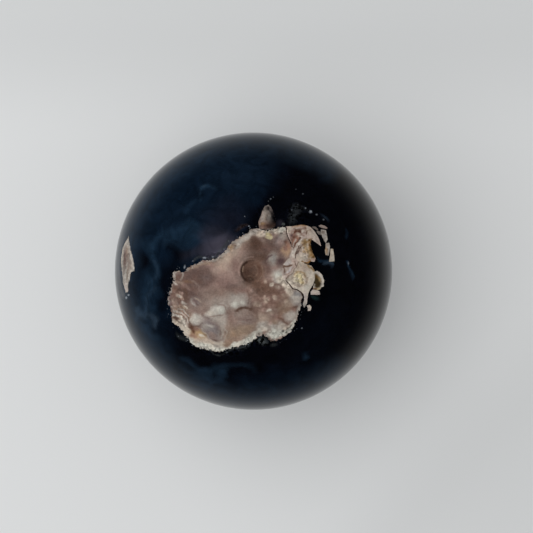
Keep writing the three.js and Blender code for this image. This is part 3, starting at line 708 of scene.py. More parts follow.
# %% The bits, with their tints
BITS = {
    "arch": (ARCH, "petal", [
        Blot("blush", 10.8, 8.4, 1.8, 1.1, 0, 0.9, 0.5), Blot("cream", 7.7, 9.0, 0.5, 0.7, 0, 0.5),
        Blot("cream", 12.8, 8.2, 1.4, 0.9, -42, 0.8, 0.7), Blot("rose", 8.8, 7.9, 0.9, 0.9, -20, 0.8, 0.9),
        Blot("brick", 8.7, 6.9, 0.7, 1.0, -25, 0.8, 0.9), Blot("clay", 9.0, 6.3, 0.55, 1.0, -20, 0.8, 0.8),
        Blot("clay", 9.3, 8.3, 0.8, 0.5, 20, 0.9, 0.45), Blot("brick", 9.0, 7.9, 1.1, 0.8, 10, 0.9, 0.8),
        # rusty mottles
        Blot("rust", 9.9, 8.75, 0.42, 0.46, 0, 0.5), Blot("rust", 9.1, 8.5, 0.46, 0.26, 30, 0.5),
        Blot("redbrown", 9.4, 9.0, 0.6, 0.24, -10, 0.6, 0.9),
        Blot("plum", 8.2, 7.9, 0.32, 0.26, 20, 0.6, 0.9), Blot("rust", 8.8, 7.6, 0.34, 0.28, 0, 0.6, 0.9),
        Blot("redbrown", 9.3, 7.6, 0.3, 0.22, 40, 0.6, 0.9),
        Blot("redbrown", 8.6, 7.0, 0.26, 0.18, 20, 0.7, 0.8),
        Blot("redbrown", 10.3, 9.2, 0.5, 0.16, 15, 0.7, 0.8),
        Streak("redbrown", 0.12, 0.7, 0.95, (11.3, 9.5), (11.7, 9.1), (11.7, 8.6), (11.5, 8.2)),
        Streak("brick", 0.12, 0.8, 0.8, (10.2, 8.4), (10.5, 7.9), (11.0, 7.7)),
        Blot("brick", 11.1, 9.3, 0.4, 0.2, -20, 0.7, 0.8),
        Blot("white", 10.6, 8.8, 0.3, 0.22, 20, 0.7, 0.8), Blot("cream", 9.8, 8.0, 0.4, 0.3, 0, 0.7, 0.9),
        Blot("white", 10.2, 7.5, 0.4, 0.25, 10, 0.7, 0.8), Blot("cream", 9.1, 9.3, 0.3, 0.14, 5, 0.7, 0.8),
        Blot("cream", 11.9, 8.9, 0.4, 0.3, -30, 0.8, 0.6), Blot("cream", 8.5, 8.3, 0.16, 0.14, 0, 0.7, 0.7),
        # the stained upper edge and the pink left limb
        Streak("copper", 0.26, 0.6, 0.8, (8.4, 9.65), (9.8, 9.8), (11.4, 9.9)),
        Blot("orange", 10.4, 10.05, 1.1, 0.26, 5), Blot("clay", 9.5, 6.9, 0.7, 0.4, 50, 0.8, 0.8),
        Streak("rust", 0.22, 0.7, 1.0, (10.1, 7.1), (9.7, 6.5), (9.2, 5.8), (8.8, 5.2)),
        Streak("milk", 0.12, 0.8, 0.8, (9.3, 7.0), (8.9, 6.2), (8.5, 5.3)),
        Streak("redbrown", 0.1, 0.8, 0.9, (8.5, 7.0), (8.35, 6.2), (8.5, 5.4)),
        Streak("shell", 0.1, 0.8, 0.8, (12.2, 9.2), (12.9, 8.4), (13.6, 7.2)),
        Blot("shell", 13.9, 6.4, 0.5, 0.3, -50, 0.8, 0.7),
        Streak("burnt", 0.1, 0.7, 0.7, (10.6, 6.75), (11.6, 7.0), (12.6, 7.0)),
    ]),
    "strip": (STRIP, "petal", [
        Streak("white", 0.3, 0.8, 0.75, (10.3, 6.5), (9.5, 5.1), (8.8, 3.9), (8.4, 2.8)),
        Blot("lilac", 8.75, 3.9, 0.12, 0.2, 0, 0.8, 0.6), Blot("lilac", 8.4, 3.1, 0.14, 0.2, 0, 0.8, 0.5),
        Streak("rust", 0.13, 0.7, 1.0, (10.55, 6.6), (10.2, 5.8), (9.8, 5.1), (9.35, 4.2), (9.05, 2.8)),
        Streak("rust", 0.22, 0.6, 1.0, (10.0, 7.1), (9.4, 6.3), (8.8, 5.4), (8.2, 4.6)),
        Streak("brick", 0.14, 0.8, 0.7, (8.0, 4.2), (7.85, 3.5), (7.9, 2.6)),
    ]),
    "rusty block": (RUSTY_BLOCK, "petal", [
        Blot("gold", 11.6, 5.3, 0.9, 1.3, 0, 0.9, 0.75), Blot("gold", 12.3, 4.0, 0.5, 1.1, 10, 0.7, 0.9),
        Blot("beige", 10.3, 4.6, 0.6, 0.9, 20, 0.8, 0.8), Blot("ochre", 11.3, 6.4, 1.0, 0.5, 0, 0.7, 0.95),
        Blot("cream", 10.5, 2.8, 1.4, 0.9, 0, 0.6, 0.9), Blot("cream", 10.7, 5.0, 0.3, 0.45, 0, 0.8, 0.8),
        Blot("cream", 11.9, 5.6, 0.22, 0.5, 5, 0.8, 0.8), Blot("white", 11.5, 6.7, 0.25, 0.17, 0, 0.6, 0.7),
        Blot("ochre", 10.9, 4.1, 0.3, 0.2, 0, 0.7, 0.8), Blot("ochre", 11.5, 4.5, 0.22, 0.5, 15, 0.7, 0.7),
        Blot("ochre", 12.1, 3.2, 0.25, 0.4, 10, 0.8, 0.7), Blot("ochre", 11.0, 5.7, 0.3, 0.2, 40, 0.7, 0.8),
        Blot("burnt", 12.2, 6.8, 0.5, 0.25, 10, 0.6, 0.95),
        Blot("orange", 12.45, 4.9, 0.25, 0.8, 10, 0.7, 0.9),
        Streak("burnt", 0.15, 0.7, 1.0, (12.55, 6.6), (12.35, 5.8), (12.5, 4.9), (12.8, 4.1), (13.1, 3.4)),
        Blot("burnt", 12.9, 3.1, 0.32, 0.36, 0, 0.5), Blot("orange", 12.5, 3.5, 0.3, 0.3, 0, 0.8, 0.7),
        Blot("blush", 13.0, 2.4, 0.4, 0.25, 0, 0.7, 0.9),
        Blot("orange", 12.2, 2.5, 0.5, 0.14, 10, 0.7, 0.7),
        Streak("orange", 0.16, 0.7, 1.0, (10.7, 2.0), (11.2, 1.7), (11.9, 1.8), (12.4, 2.15)),
        Blot("burnt", 11.5, 1.6, 0.4, 0.14, 0, 0.6, 0.9), Blot("burnt", 10.6, 2.0, 0.24, 0.16, 0, 0.6, 0.8),
        Streak("rust", 0.1, 0.8, 0.9, (9.5, 3.9), (9.9, 4.7), (10.4, 5.4), (10.6, 6.0)),
        Streak("rust", 0.06, 0.8, 0.6, (10.9, 6.1), (11.1, 5.3), (10.9, 4.6), (11.3, 3.8)),
    ]),
    "leaf and lilac stripe": (LEAF, "petal", [
        Blot("milk", 7.3, 1.9, 0.9, 0.7, 30, 0.7, 0.8), Blot("shell", 6.9, -0.4, 0.4, 0.7, 20, 0.8, 0.9),
        Streak("redbrown", 0.2, 0.6, 1.0, (6.4, 0.85), (7.3, 1.05), (8.3, 1.25)),
        Streak("redbrown", 0.14, 0.7, 0.9, (6.6, 0.8), (6.7, 0.2), (7.0, -0.4)),
        Streak("redbrown", 0.1, 0.7, 0.9, (6.9, -1.9), (7.5, -1.2), (8.2, -0.6), (8.9, 0.2), (9.3, 1.2),
               (9.0, 2.2)),
        Streak("blush", 0.12, 0.8, 0.9, (7.2, -0.9), (8.0, -0.1), (8.7, 0.8), (8.9, 1.6)),
        Blot("blush", 8.6, 2.3, 0.4, 0.3, 0, 0.8, 0.6), Blot("pearl", 7.7, 0.2, 0.8, 0.24, 45, 0.7),
        Blot("pearl", 7.5, 1.7, 0.6, 0.3, 20, 0.8, 0.6),
    ]),
    "round bit and tail": (ORB_AND_TAIL, "cream", [
        Blot("white", 10.4, -1.8, 2.3, 2.1, 0, 0.7, 0.6),
        Blot("ochre", 10.0, -1.6, 2.0, 1.9, 0, 0.25, 0.25),
        Streak("ochre", 0.3, 0.8, 0.85, *arc(10.0, -1.6, 1.3, 160, 10)),
        Blot("peach", 11.0, 0.6, 0.9, 0.5, -10, 0.7, 0.9),
        Streak("tan", 0.16, 0.8, 0.7, (8.7, -0.6), (8.4, -1.8), (8.9, -2.9), (10.0, -3.4), (11.2, -2.9),
               (11.8, -1.6)),
        Blot("white", 10.1, -1.7, 1.2, 1.2, 0, 0.5, 0.5), Blot("buff", 9.8, -1.5, 0.95, 0.95, 0, 0.5),
        Blot("buff", 10.4, -2.4, 0.6, 0.5, 0, 0.6, 0.8), Blot("white", 9.6, -1.6, 0.45, 0.35, 0, 0.8, 0.6),
        Blot("ochre", 10.6, -2.5, 0.3, 0.2, 0, 0.7, 0.6), Blot("beige", 11.8, 0.6, 0.8, 0.4, -20, 0.9, 0.5),
        Blot("cream", 8.7, -1.7, 0.7, 0.7, 0, 0.8, 0.7), Blot("chalk", 11.5, -3.5, 0.9, 0.6, -30, 0.8, 0.4),
        Streak("ochre", 0.24, 0.7, 0.85, (11.8, 1.3), (12.7, 0.7), (13.1, 0.0), (13.3, -0.6)),
        Streak("burnt", 0.12, 0.7, 0.7, (12.5, 1.1), (13.1, 0.3)),
        Streak("ash", 0.1, 0.8, 0.6, (8.2, -2.1), (8.8, -2.7), (9.3, -3.3)),
        Blot("frost", 11.3, -5.7, 0.6, 1.2, 0, 0.7), Blot("steel", 11.0, -7.6, 0.6, 0.7, 0, 0.8, 0.7),
        Streak("ash", 0.12, 0.8, 0.6, (10.3, 0.9), (10.1, 1.7)),
        Blot("tan", 9.6, 0.9, 0.3, 0.5, 0, 0.8, 0.5),
        Streak("milk", 0.2, 0.7, 0.8, (7.6, -1.4), (8.2, -0.6), (8.8, 0.4), (9.2, 1.4)),
        Streak("redbrown", 0.1, 0.7, 0.8, (7.3, -1.6), (8.0, -0.9), (8.8, 0.1), (9.3, 1.2), (9.9, 2.0)),
    ]),
    "loop": (LOOP, "white", [
        Blot("olive", 13.7, -2.0, 0.8, 1.5, 10, 0.5), Blot("burnt", 13.8, -1.2, 0.45, 0.6, 20, 0.7, 0.8),
        Blot("gold", 14.35, -1.9, 0.28, 0.6, 15, 0.8, 0.7), Blot("olive", 14.2, -3.0, 0.5, 0.6),
        Blot("olive", 13.6, -3.2, 0.6, 0.5, 0, 0.7), Blot("ochre", 13.6, -3.9, 0.7, 0.2, 0, 0.7, 0.9),
        Blot("burnt", 13.3, -3.9, 0.5, 0.2, 0, 0.6, 0.9), Blot("buff", 14.2, -3.8, 0.4, 0.25, 10, 0.7, 0.7),
        Blot("steel", 15.0, -2.9, 0.3, 0.25, 0, 0.8, 0.5),
        Blot("umber", 14.75, -2.3, 0.1, 0.3, 20, 0.7, 0.7),
        Blot("frost", 14.2, -0.4, 0.4, 0.2, -30, 0.8, 0.5),
    ]),
    "triangle": (TRIANGLE, "shell", [
        Blot("drab", 2.9, 12.4, 0.8, 1.8, 8, 0.9, 0.7), Blot("drab", 2.5, 13.4, 0.7, 0.6, 0, 0.8, 0.9),
        Blot("ash", 2.3, 12.2, 0.6, 1.5, -8, 0.8, 0.9), Blot("night", 1.1, 11.9, 0.3, 1.6, -16, 0.6, 0.8),
        Blot("tan", 2.7, 11.4, 0.4, 0.7, 10, 0.8, 0.4), Blot("redbrown", 2.2, 9.9, 1.6, 0.9, 0, 0.8, 0.85),
        Blot("ochre", 1.8, 10.3, 0.6, 0.35, 0, 0.8, 0.5), Blot("night", 4.9, 11.2, 1.7, 3.6, 8, 0.7),
        Blot("soot", 3.6, 9.8, 1.2, 0.7, 0, 0.8, 0.8), Blot("night", 3.2, 13.5, 0.5, 0.22, -50, 0.7, 0.9),
        Blot("night", 2.3, 13.2, 0.18, 0.3, 20, 0.7, 0.8), Blot("ash", 2.9, 14.1, 0.4, 0.25, 0, 0.8, 0.5),
        Blot("soot", 2.6, 13.5, 0.6, 0.5, 0, 0.8, 0.35),
        Streak("ash", 0.14, 0.8, 0.6, (1.3, 10.2), (1.8, 11.6), (2.4, 13.2)),
        Blot("ash", 3.4, 12.2, 0.35, 0.8, 8, 0.8, 0.6), Blot("soot", 3.4, 12.4, 0.2, 0.3, 0, 0.8, 0.6),
    ]),
}
CHIP_TINTS = ["frost", "shell", "drab", "drab", "milk", "milk", "cream", "frost", "slate"]
CHIP_MARKS = [
    Blot("chalk", 13.6, -4.4, 0.6, 0.25, 0, 0.7, 0.5), Blot("cream", 12.2, -7.8, 0.5, 0.5, 0, 0.5, 0.8),
    Blot("umber", 12.1, -7.95, 0.12, 0.12, 0, 0.5, 0.6), Blot("ash", 14.7, 9.8, 0.5, 0.2, 0, 0.8, 0.5),
    Blot("lilac", 13.3, 9.6, 0.4, 0.2, 0, 0.8, 0.5), Blot("drab", 15.0, 8.7, 0.5, 0.3, 0, 0.8, 0.8),
    Blot("drab", 15.1, 7.0, 0.35, 0.5, 0, 0.8, 0.6), Blot("steel", 15.5, 7.9, 0.5, 0.3, 30, 0.8, 0.5),
    Blot("ochre", 15.7, 4.6, 0.25, 0.9, 0, 0.7, 0.8), Blot("ochre", 17.2, 4.7, 0.4, 0.3, 0, 0.8, 0.5),
    Blot("tan", 16.1, 5.8, 0.4, 0.3, 0, 0.8, 0.5),
    Streak("umber", 0.08, 0.7, 0.7, (16.0, 4.9), (16.1, 3.8)),
    Streak("chalk", 0.1, 0.7, 0.5, (17.2, 4.4), (17.3, 2.4)),
]
for outline, tint in zip(CHIPS, CHIP_TINTS):
    BITS[f"chip {len(BITS)}"] = (outline, tint, CHIP_MARKS)

# %% [markdown]
# ## The dark stone
# The body isn't plain black. Its upper left is deep navy, with a blue smoky hook and band near the
# left limb, a blue rim, a mauve haze along the lining's upper edge and a few pale motes. All of this
# lies a little under the polish in the real stone, and is painted on it here.

# %% Marks of the dark body
BODY = [
    Blot("navy", -13.0, 14.0, 17.0, 12.5, 30, 0.45), Blot("navy", -20.0, 2.0, 8.0, 13.0, 0, 0.7, 0.9),
    Blot("navy", 0.0, -25.0, 17.0, 3.2, 8, 0.8, 0.6), Blot("navy", -20.0, -14.0, 5.0, 5.0, 0, 0.8, 0.6),
    Blot("marine", -3.5, 21.5, 7.0, 3.6, 12, 0.9, 0.9),
    Blot("marine", -10.0, 13.5, 6.0, 3.0, 35, 0.9, 0.35),
    Blot("marine", -18.0, 11.0, 4.0, 2.2, 50, 0.9, 0.45), Blot("dim", -5.6, 11.3, 4.4, 3.6, 20, 0.9, 0.45),
    Streak("night", 6.0, 0.25, 1.0, (22.0, 21.0), (13.0, 16.6), (8.5, 12.4), (4.0, 8.6)),
    Blot("night", -16.2, 4.3, 2.0, 1.8, 0, 0.8, 0.9), Blot("night", -17.3, -1.8, 2.2, 5.0, 0, 0.8, 0.9),
    Blot("night", -24.0, 2.0, 1.9, 2.2, 0, 0.7, 0.95), Blot("night", -11.8, 16.8, 1.4, 1.0, 20, 0.8, 0.6),
    Blot("night", -7.8, 18.9, 1.0, 0.8, 0, 0.8, 0.5), Blot("night", -19.6, -4.0, 1.0, 4.6, 0, 0.8, 0.8),
    Blot("night", -13.0, -17.0, 8.0, 2.2, -40, 0.8, 0.9), Blot("night", -2.0, -20.0, 9.0, 2.0, 8, 0.8, 0.8),
    # the hook, the ring and the band near the left limb
    Streak("smoke", 0.45, 0.9, 0.3, (-13.4, 15.6), (-14.6, 13.4), (-14.5, 11.4), (-13.4, 9.9)),
    Streak("smoke", 0.9, 0.9, 0.5, (-12.6, 8.8), (-14.4, 9.7), (-17.2, 8.9), (-19.4, 8.3), (-21.0, 7.2),
           (-22.2, 5.4)),
    Blot("smoke", -14.0, 7.2, 4.2, 1.7, 10, 0.9, 0.42),
    Streak("smoke", 0.35, 0.9, 0.4, (-19.8, 6.8), (-18.2, 6.9), (-17.4, 6.0)),
    Blot("night", -18.6, 5.3, 1.1, 0.9, 0, 0.7, 0.7), Blot("smoke", -18.9, 5.8, 0.45, 0.35, 0, 0.8, 0.5),
    Streak("smoke", 0.7, 1.0, 0.55, (-23.6, 6.2), (-22.6, 4.6), (-21.8, 2.6), (-21.0, 0.8), (-20.8, -0.4)),
    Streak("pale_smoke", 0.34, 1.0, 0.3, (-21.4, 1.6), (-20.8, 0.2), (-21.6, -1.4), (-23.0, -2.6)),
    Streak("smoke", 1.5, 1.0, 0.55, (-22.2, -1.6), (-22.8, -4.4), (-22.9, -7.2), (-23.2, -9.0)),
    Streak("pale_smoke", 0.4, 1.0, 0.26, (-21.6, -3.8), (-22.6, -5.8), (-23.6, -8.4)),
    Streak("pale_smoke", 0.6, 1.0, 0.65, (-25.6, -8.4), (-24.6, -9.6), (-23.0, -9.9), (-21.2, -10.9)),
    Streak("smoke", 0.9, 0.9, 0.5, (-25.4, -10.6), (-23.6, -12.6), (-21.4, -14.6)),
    Blot("smoke", *NODE_AT, 1.1, 0.55, 15, 0.8, 0.9),
    Blot("pale_smoke", -10.1, 18.4, 0.5, 0.25, 15, 0.8, 0.5),
    Streak("smoke", 0.3, 0.9, 0.45, (-10.6, 18.1), (-11.9, 17.0), (-12.2, 15.8)),
    # a blue rim
    Streak("smoke", 2.6, 1.0, 0.55, *arc(0.0, 0.0, 28.6, 55, 175, 15)),
    Streak("smoke", 2.4, 1.0, 0.45, *arc(0.0, 0.0, 28.6, 175, 310, 15)),
    # the right side
    Blot("slate", 8.8, 11.8, 0.9, 2.0, -10, 0.9, 0.22), Blot("slate", 9.8, 13.7, 1.3, 0.5, -10, 0.9, 0.2),
    Blot("pale_smoke", 15.4, 11.7, 0.9, 0.35, -50, 0.9, 0.4),
    Streak("smoke", 0.2, 0.9, 0.5, (14.2, 2.8), (15.1, 2.6), (15.8, 2.2)),
    Streak("pale_smoke", 0.22, 0.9, 0.8, (15.2, 2.1), (15.9, 1.7), (16.7, 1.0)),
    Streak("smoke", 0.22, 0.9, 0.7, (20.6, 2.0), (20.7, 0.4), (20.9, -1.4)),
    Streak("smoke", 0.2, 0.9, 0.5, (19.9, 9.2), (20.3, 7.6)), Blot("teal", 13.6, -5.65, 1.0, 0.35),
    Streak("smoke", 0.16, 0.9, 0.6, (11.3, -17.6), (11.5, -19.2)),
    Blot("navy", 14.0, -15.0, 8.0, 5.0, 40, 0.9, 0.12),
    # the lower side
    Streak("smoke", 0.8, 1.0, 0.38, (-14.6, -19.6), (-12.4, -20.4), (-10.4, -22.0), (-8.6, -21.0),
           (-7.0, -21.8)),
    Streak("smoke", 0.6, 1.0, 0.34, (-13.4, -22.4), (-11.4, -24.0), (-9.4, -24.6), (-7.2, -23.6),
           (-6.6, -22.0)),
    Streak("smoke", 0.5, 1.0, 0.25, (-8.0, -21.2), (-5.4, -20.9), (-2.6, -20.2), (0.6, -20.8)),
    Blot("smoke", -10.6, -22.4, 2.4, 1.2, -10, 0.9, 0.35),
    # haze and grey grains along the lining's edge
    Blot("haze", -7.4, 5.2, 3.2, 2.2, 25, 0.95), Blot("haze", -11.2, 4.3, 3.4, 1.5, 15, 0.9, 0.35),
    Blot("haze", -9.8, 8.6, 2.0, 1.4, 20, 0.95, 0.3), Blot("haze", 5.4, 10.4, 0.8, 0.9, 0, 0.9, 0.35),
    Blot("dusk", -2.6, 9.4, 0.9, 0.35, 15, 0.8, 0.9), Blot("slate", 1.2, -14.9, 1.6, 0.6, 0, 0.8, 0.7),
    Blot("slate", -1.4, -16.3, 1.2, 0.35, 30, 0.8, 0.4), Blot("slate", 4.6, -15.6, 0.7, 0.3, 10, 0.8, 0.4),
    Blot("slate", -15.4, -14.4, 1.0, 0.3, -48, 0.8, 0.4),
    Blot("slate", -17.9, -11.0, 0.4, 0.4, 0, 0.8, 0.5), Blot("soot", 13.7, -2.2, 0.5, 1.6, -15, 0.6, 0.9),
    Streak("slate", 0.22, 0.9, 0.45, (-13.0, 1.7), (-11.8, 2.4), (-10.0, 2.9), (-8.2, 3.4), (-6.6, 4.5),
           (-5.6, 6.4)),
    Streak("slate", 0.18, 0.9, 0.3, (-12.4, -16.7), (-10.0, -17.5), (-7.4, -17.9), (-5.0, -17.4),
           (-2.4, -16.7)),
]

# %% [markdown]
# ## Painting
# The skin is painted over a plain taupe ground, and each bit over its own ground, inside its own
# outline. The round pit is painted on places that aren't rippled, so that its rings stay round. The
# dark body has a sheet of its own, because the edge between the two is drawn crisply by the finish
# and not by the mesh.

# %% Painting the lining, the bits and the body
SHALLOW, FAR = 3.0, -3.0
soft_places = rippled(rippled(places, 2.4, 0.13, 5), 0.9, 0.05, 11)
skin_paint = paint(np.tile(TINTS["taupe"], (len(places), 1)), soft_places,
                   SMOOTH_HALF + RIGHT_SIDE + LUMPS + LEFT_END + CRUST)
skin_paint = paint(skin_paint, places, ROUND_PIT)
bit_depth = np.full(len(places), FAR)
for outline, tint, marks in BITS.values():
    depth = depth_inside(places, outline)
    inside = smooth(-0.15, -0.02, depth)
    skin_paint = skin_paint + (np.array(TINTS[tint]) - skin_paint) * inside[:, None]
    skin_paint = paint(skin_paint, soft_places, marks, inside)
    bit_depth = np.maximum(bit_depth, depth)
body_paint = paint(np.tile(TINTS["night"], (len(places), 1)), rippled(places, 5.0, 0.5, 21), BODY)
body_paint = paint(body_paint, places, [Blot("mote", *mote[:5], 0.6, mote[5]) for mote in MOTES])
print("marks:", sum(map(len, (SMOOTH_HALF, ROUND_PIT, RIGHT_SIDE, LUMPS, LEFT_END, CRUST, BODY))))
print("bits:", len(BITS))

# %% [markdown]
# ## The patch on the left side
# A second, smaller patch of skin lies low on the left, where an eye over the stone sees it nearly
# edge-on. So it is laid out and painted on the side chart, which isn't squeezed there. Two thin
# grey veils lie in the dark stone below it.

# %% Painting the side patch
SIDE_MARKS = [
    Blot("milk", -3.6, -0.6, 1.3, 1.2, 40, 0.8, 0.8), Blot("mauve", -0.8, 0.0, 2.2, 0.9, 12, 0.8),
    Blot("umber", -0.4, -0.4, 1.0, 0.4, 10, 0.8, 0.6), Blot("taupe", -1.0, 1.6, 1.8, 0.6, 40, 0.8, 0.8),
    Streak("milk", 0.3, 0.6, 0.9, (-2.4, 2.2), (-1.0, 3.2), (0.2, 4.0), (1.4, 4.3), (1.8, 3.0), (3.0, 2.4)),
    Blot("taupe", 0.9, 2.2, 0.6, 0.5, 0, 0.8, 0.7),
    Streak("milk", 0.35, 0.8, 0.8, (1.8, 0.9), (3.4, 0.6), (5.0, 0.9), (6.2, 1.0)),
    Streak("tan", 0.2, 0.8, 0.6, (1.4, 1.6), (2.8, 1.7), (4.0, 1.2)),
    Blot("frost", 5.2, 0.6, 1.2, 0.7, 10, 0.8, 0.8),
    Streak("cream", 0.22, 0.8, 0.7, (-4.6, -0.9), (-2.4, -2.0), (-0.6, -2.1), (0.9, -1.6)),
    Blot("mauve", 2.2, -0.4, 0.6, 0.3, 0, 0.8, 0.5), Blot("tan", -2.6, 0.6, 0.8, 0.5, 30, 0.8, 0.6),
]
VEILS = [
    Streak("veil", 0.8, 1.0, 0.45, (-4.6, -3.4), (-2.0, -4.4), (1.0, -4.2), (4.0, -3.4), (6.6, -1.8)),
    Streak("veil", 0.7, 1.0, 0.3, (-3.4, -7.2), (0.6, -8.4), (4.6, -7.4), (8.0, -5.0)),
]
PATCH_MARGIN = 2.0
side = chart_of(points, *SIDE_PATCH_AT)
side_depth = depth_inside(side, SIDE_PATCH)
on_patch = side_depth > -PATCH_MARGIN
beside = np.hypot(*side.T) < SIDE_REACH
soft_side = rippled(side[on_patch], 1.6, 0.14, 31)
patch_paint = paint(np.tile(TINTS["ash"], (on_patch.sum(), 1)), soft_side, SIDE_MARKS)
print("points on the side patch:", on_patch.sum())

# %% [markdown]
# ## Grain
# Three more masks say how the finish breaks the paint up: where the skin is knobby, where it is
# grainy as crust is, and where fine rusty veins run.

# %% Where the skin is knobby, grainy and veined
KNOBBY = [
    # x, y, half-widths, turn, softness, cover
    (4.0, -5.8, 5.0, 4.6, -15, 0.5, 1.0), (-16.3, -5.8, 2.0, 3.6, 0, 0.5, 1.0),
    (-16.5, -1.2, 1.2, 1.3, 0, 0.5, 0.7), (3.4, -12.4, 5.0, 1.6, 10, 0.5, 0.7),
    (3.2, 8.6, 4.4, 0.7, 0, 0.6, 0.6),
]
GRAINY = [
    (3.2, 8.7, 4.6, 0.8, 0, 0.6, 1.0), (9.9, -1.8, 1.7, 1.7, 0, 0.5, 1.0),
    (7.6, -12.9, 2.4, 0.9, 35, 0.6, 1.0), (4.4, -14.0, 2.0, 0.9, 0, 0.6, 0.7),
    (-3.0, -15.6, 2.6, 0.8, 25, 0.6, 0.6), (-10.0, -16.4, 4.2, 0.7, -15, 0.6, 0.5),
    (-15.8, -10.4, 1.8, 2.6, 30, 0.6, 0.8), (-16.6, -5.8, 1.8, 3.4, 0, 0.6, 0.6),
    (-4.4, 5.4, 1.6, 0.9, 35, 0.7, 0.8), (-8.0, 2.6, 2.4, 0.5, 25, 0.7, 0.7),
    (7.0, -2.8, 2.0, 1.4, -45, 0.7, 1.0), (11.1, 4.6, 1.7, 2.3, 0, 0.5, 0.8),
    (2.6, 12.0, 1.6, 2.4, 0, 0.6, 0.6), (2.4, -5.0, 4.0, 3.4, -20, 0.8, 0.45),
    (2.1, -15.0, 3.2, 1.5, 5, 0.6, 1.0), (-2.0, 9.4, 1.6, 0.7, 10, 0.8, 0.7),
    (9.4, 12.6, 2.6, 2.4, 0, 0.6, 1.0), (-9.0, 3.4, 4.6, 0.6, 20, 0.6, 0.35),
    (-8.0, -17.6, 6.0, 0.8, -5, 0.6, 0.8), (-2.0, -16.4, 3.0, 0.8, 25, 0.6, 0.8),
]
VEINED = [
    (8.9, 8.1, 1.5, 1.3, -20, 0.6, 1.0), (11.4, 9.0, 1.2, 0.8, 0, 0.7, 0.7),
    (11.0, 5.0, 1.5, 1.5, 0, 0.7, 0.8), (9.2, 6.2, 0.9, 1.2, -30, 0.7, 0.7),
    (10.9, -1.0, 2.0, 2.2, 0, 0.9, 0.25), (7.4, 0.8, 1.2, 1.6, 0, 0.8, 0.4),
    (15.0, 8.2, 1.4, 1.4, 0, 0.7, 0.5),
]


def spread(spots):
    """Where a kind of grain lies. Spots that overlap add up to 1 at most."""
    total = 0.0
    for *form, cover in spots:
        total = total + oval(places, *form) * cover * (1 - total)
    return total


print("spots:", len(KNOBBY), "knobby,", len(GRAINY), "grainy,", len(VEINED), "veined")

# %% [markdown]
# ## Handing the painting to the mesh
# The paint goes on the mesh as two colour attributes, and each mask as a float one, so that both
# the Geometry Nodes tree and the finish can read them.

# %% Attributes
def attribute(mesh, name, values):
    mesh.attributes.new(name, "FLOAT", "POINT").data.foreach_set("value", values.astype(np.float32))


def colour_attribute(mesh, name, colours):
    whole = np.concatenate([colours, np.ones((len(colours), 1))], axis=1)
    layer = mesh.attributes.new(name, "FLOAT_COLOR", "POINT")
    layer.data.foreach_set("color", whole.astype(np.float32).ravel())


def painted(values, elsewhere):
    """Values for all points: those given where the ball faces the eye, and one value elsewhere."""
    values = np.asarray(values)
    whole = np.tile(np.asarray(elsewhere, float), (len(points),) + (1,) * (values.ndim - 1))
    whole[facing] = values
    return whole


whole_skin = painted(skin_paint, TINTS["taupe"])
whole_skin[on_patch] = patch_paint
colour_attribute(ball_mesh, "skin_paint", whole_skin)
whole_body = painted(body_paint, TINTS["night"])
whole_body[beside] = paint(whole_body[beside], rippled(side[beside], 1.6, 0.3, 41), VEILS)
colour_attribute(ball_mesh, "body_paint", whole_body)
attribute(ball_mesh, "skin", painted(np.clip(lining_depth, FAR, SHALLOW), FAR))
attribute(ball_mesh, "bits", painted(np.clip(bit_depth, FAR, SHALLOW), FAR))
attribute(ball_mesh, "side", np.clip(side_depth, FAR, SHALLOW))
attribute(ball_mesh, "crack", painted(np.clip(crack, -1, 1), 1))
attribute(ball_mesh, "worn", painted(worn, 0) / METRE)
attribute(ball_mesh, "shown", smooth(-2.0, 6.0, points[:, 2]))
attribute(ball_mesh, "knobs", painted(spread(KNOBBY), 0))
patch_grain = smooth(-0.6, -0.2, side_depth) * 0.5
attribute(ball_mesh, "grains", np.maximum(painted(spread(GRAINY), 0), patch_grain))
attribute(ball_mesh, "veins", painted(spread(VEINED), 0))
print("attributes:", len(ball_mesh.attributes))

# %% [markdown]
# ## Sums with sockets
# A material or a Geometry Nodes tree is a web of small sums. This class wraps one socket, so that
# a sum can be written as Python writes it, and each sign adds its own Math node.

# %% Wires and boards
class Wire:
    """A socket that can be added to, multiplied and so on."""

    def __init__(self, board, socket):
        self.board = board
        self.socket = socket

    def maths(self, operation, first, second):
        return self.board.add("ShaderNodeMath", {"operation": operation}, {0: first, 1: second})

    def __add__(self, other):
        return self.maths("ADD", self, other)

    __radd__ = __add__

    def __sub__(self, other):
        return self.maths("SUBTRACT", self, other)

    def __rsub__(self, other):
        return self.maths("SUBTRACT", other, self)

    def __mul__(self, other):
        return self.maths("MULTIPLY", self, other)

    __rmul__ = __mul__

    def __pow__(self, other):
        return self.maths("POWER", self, other)


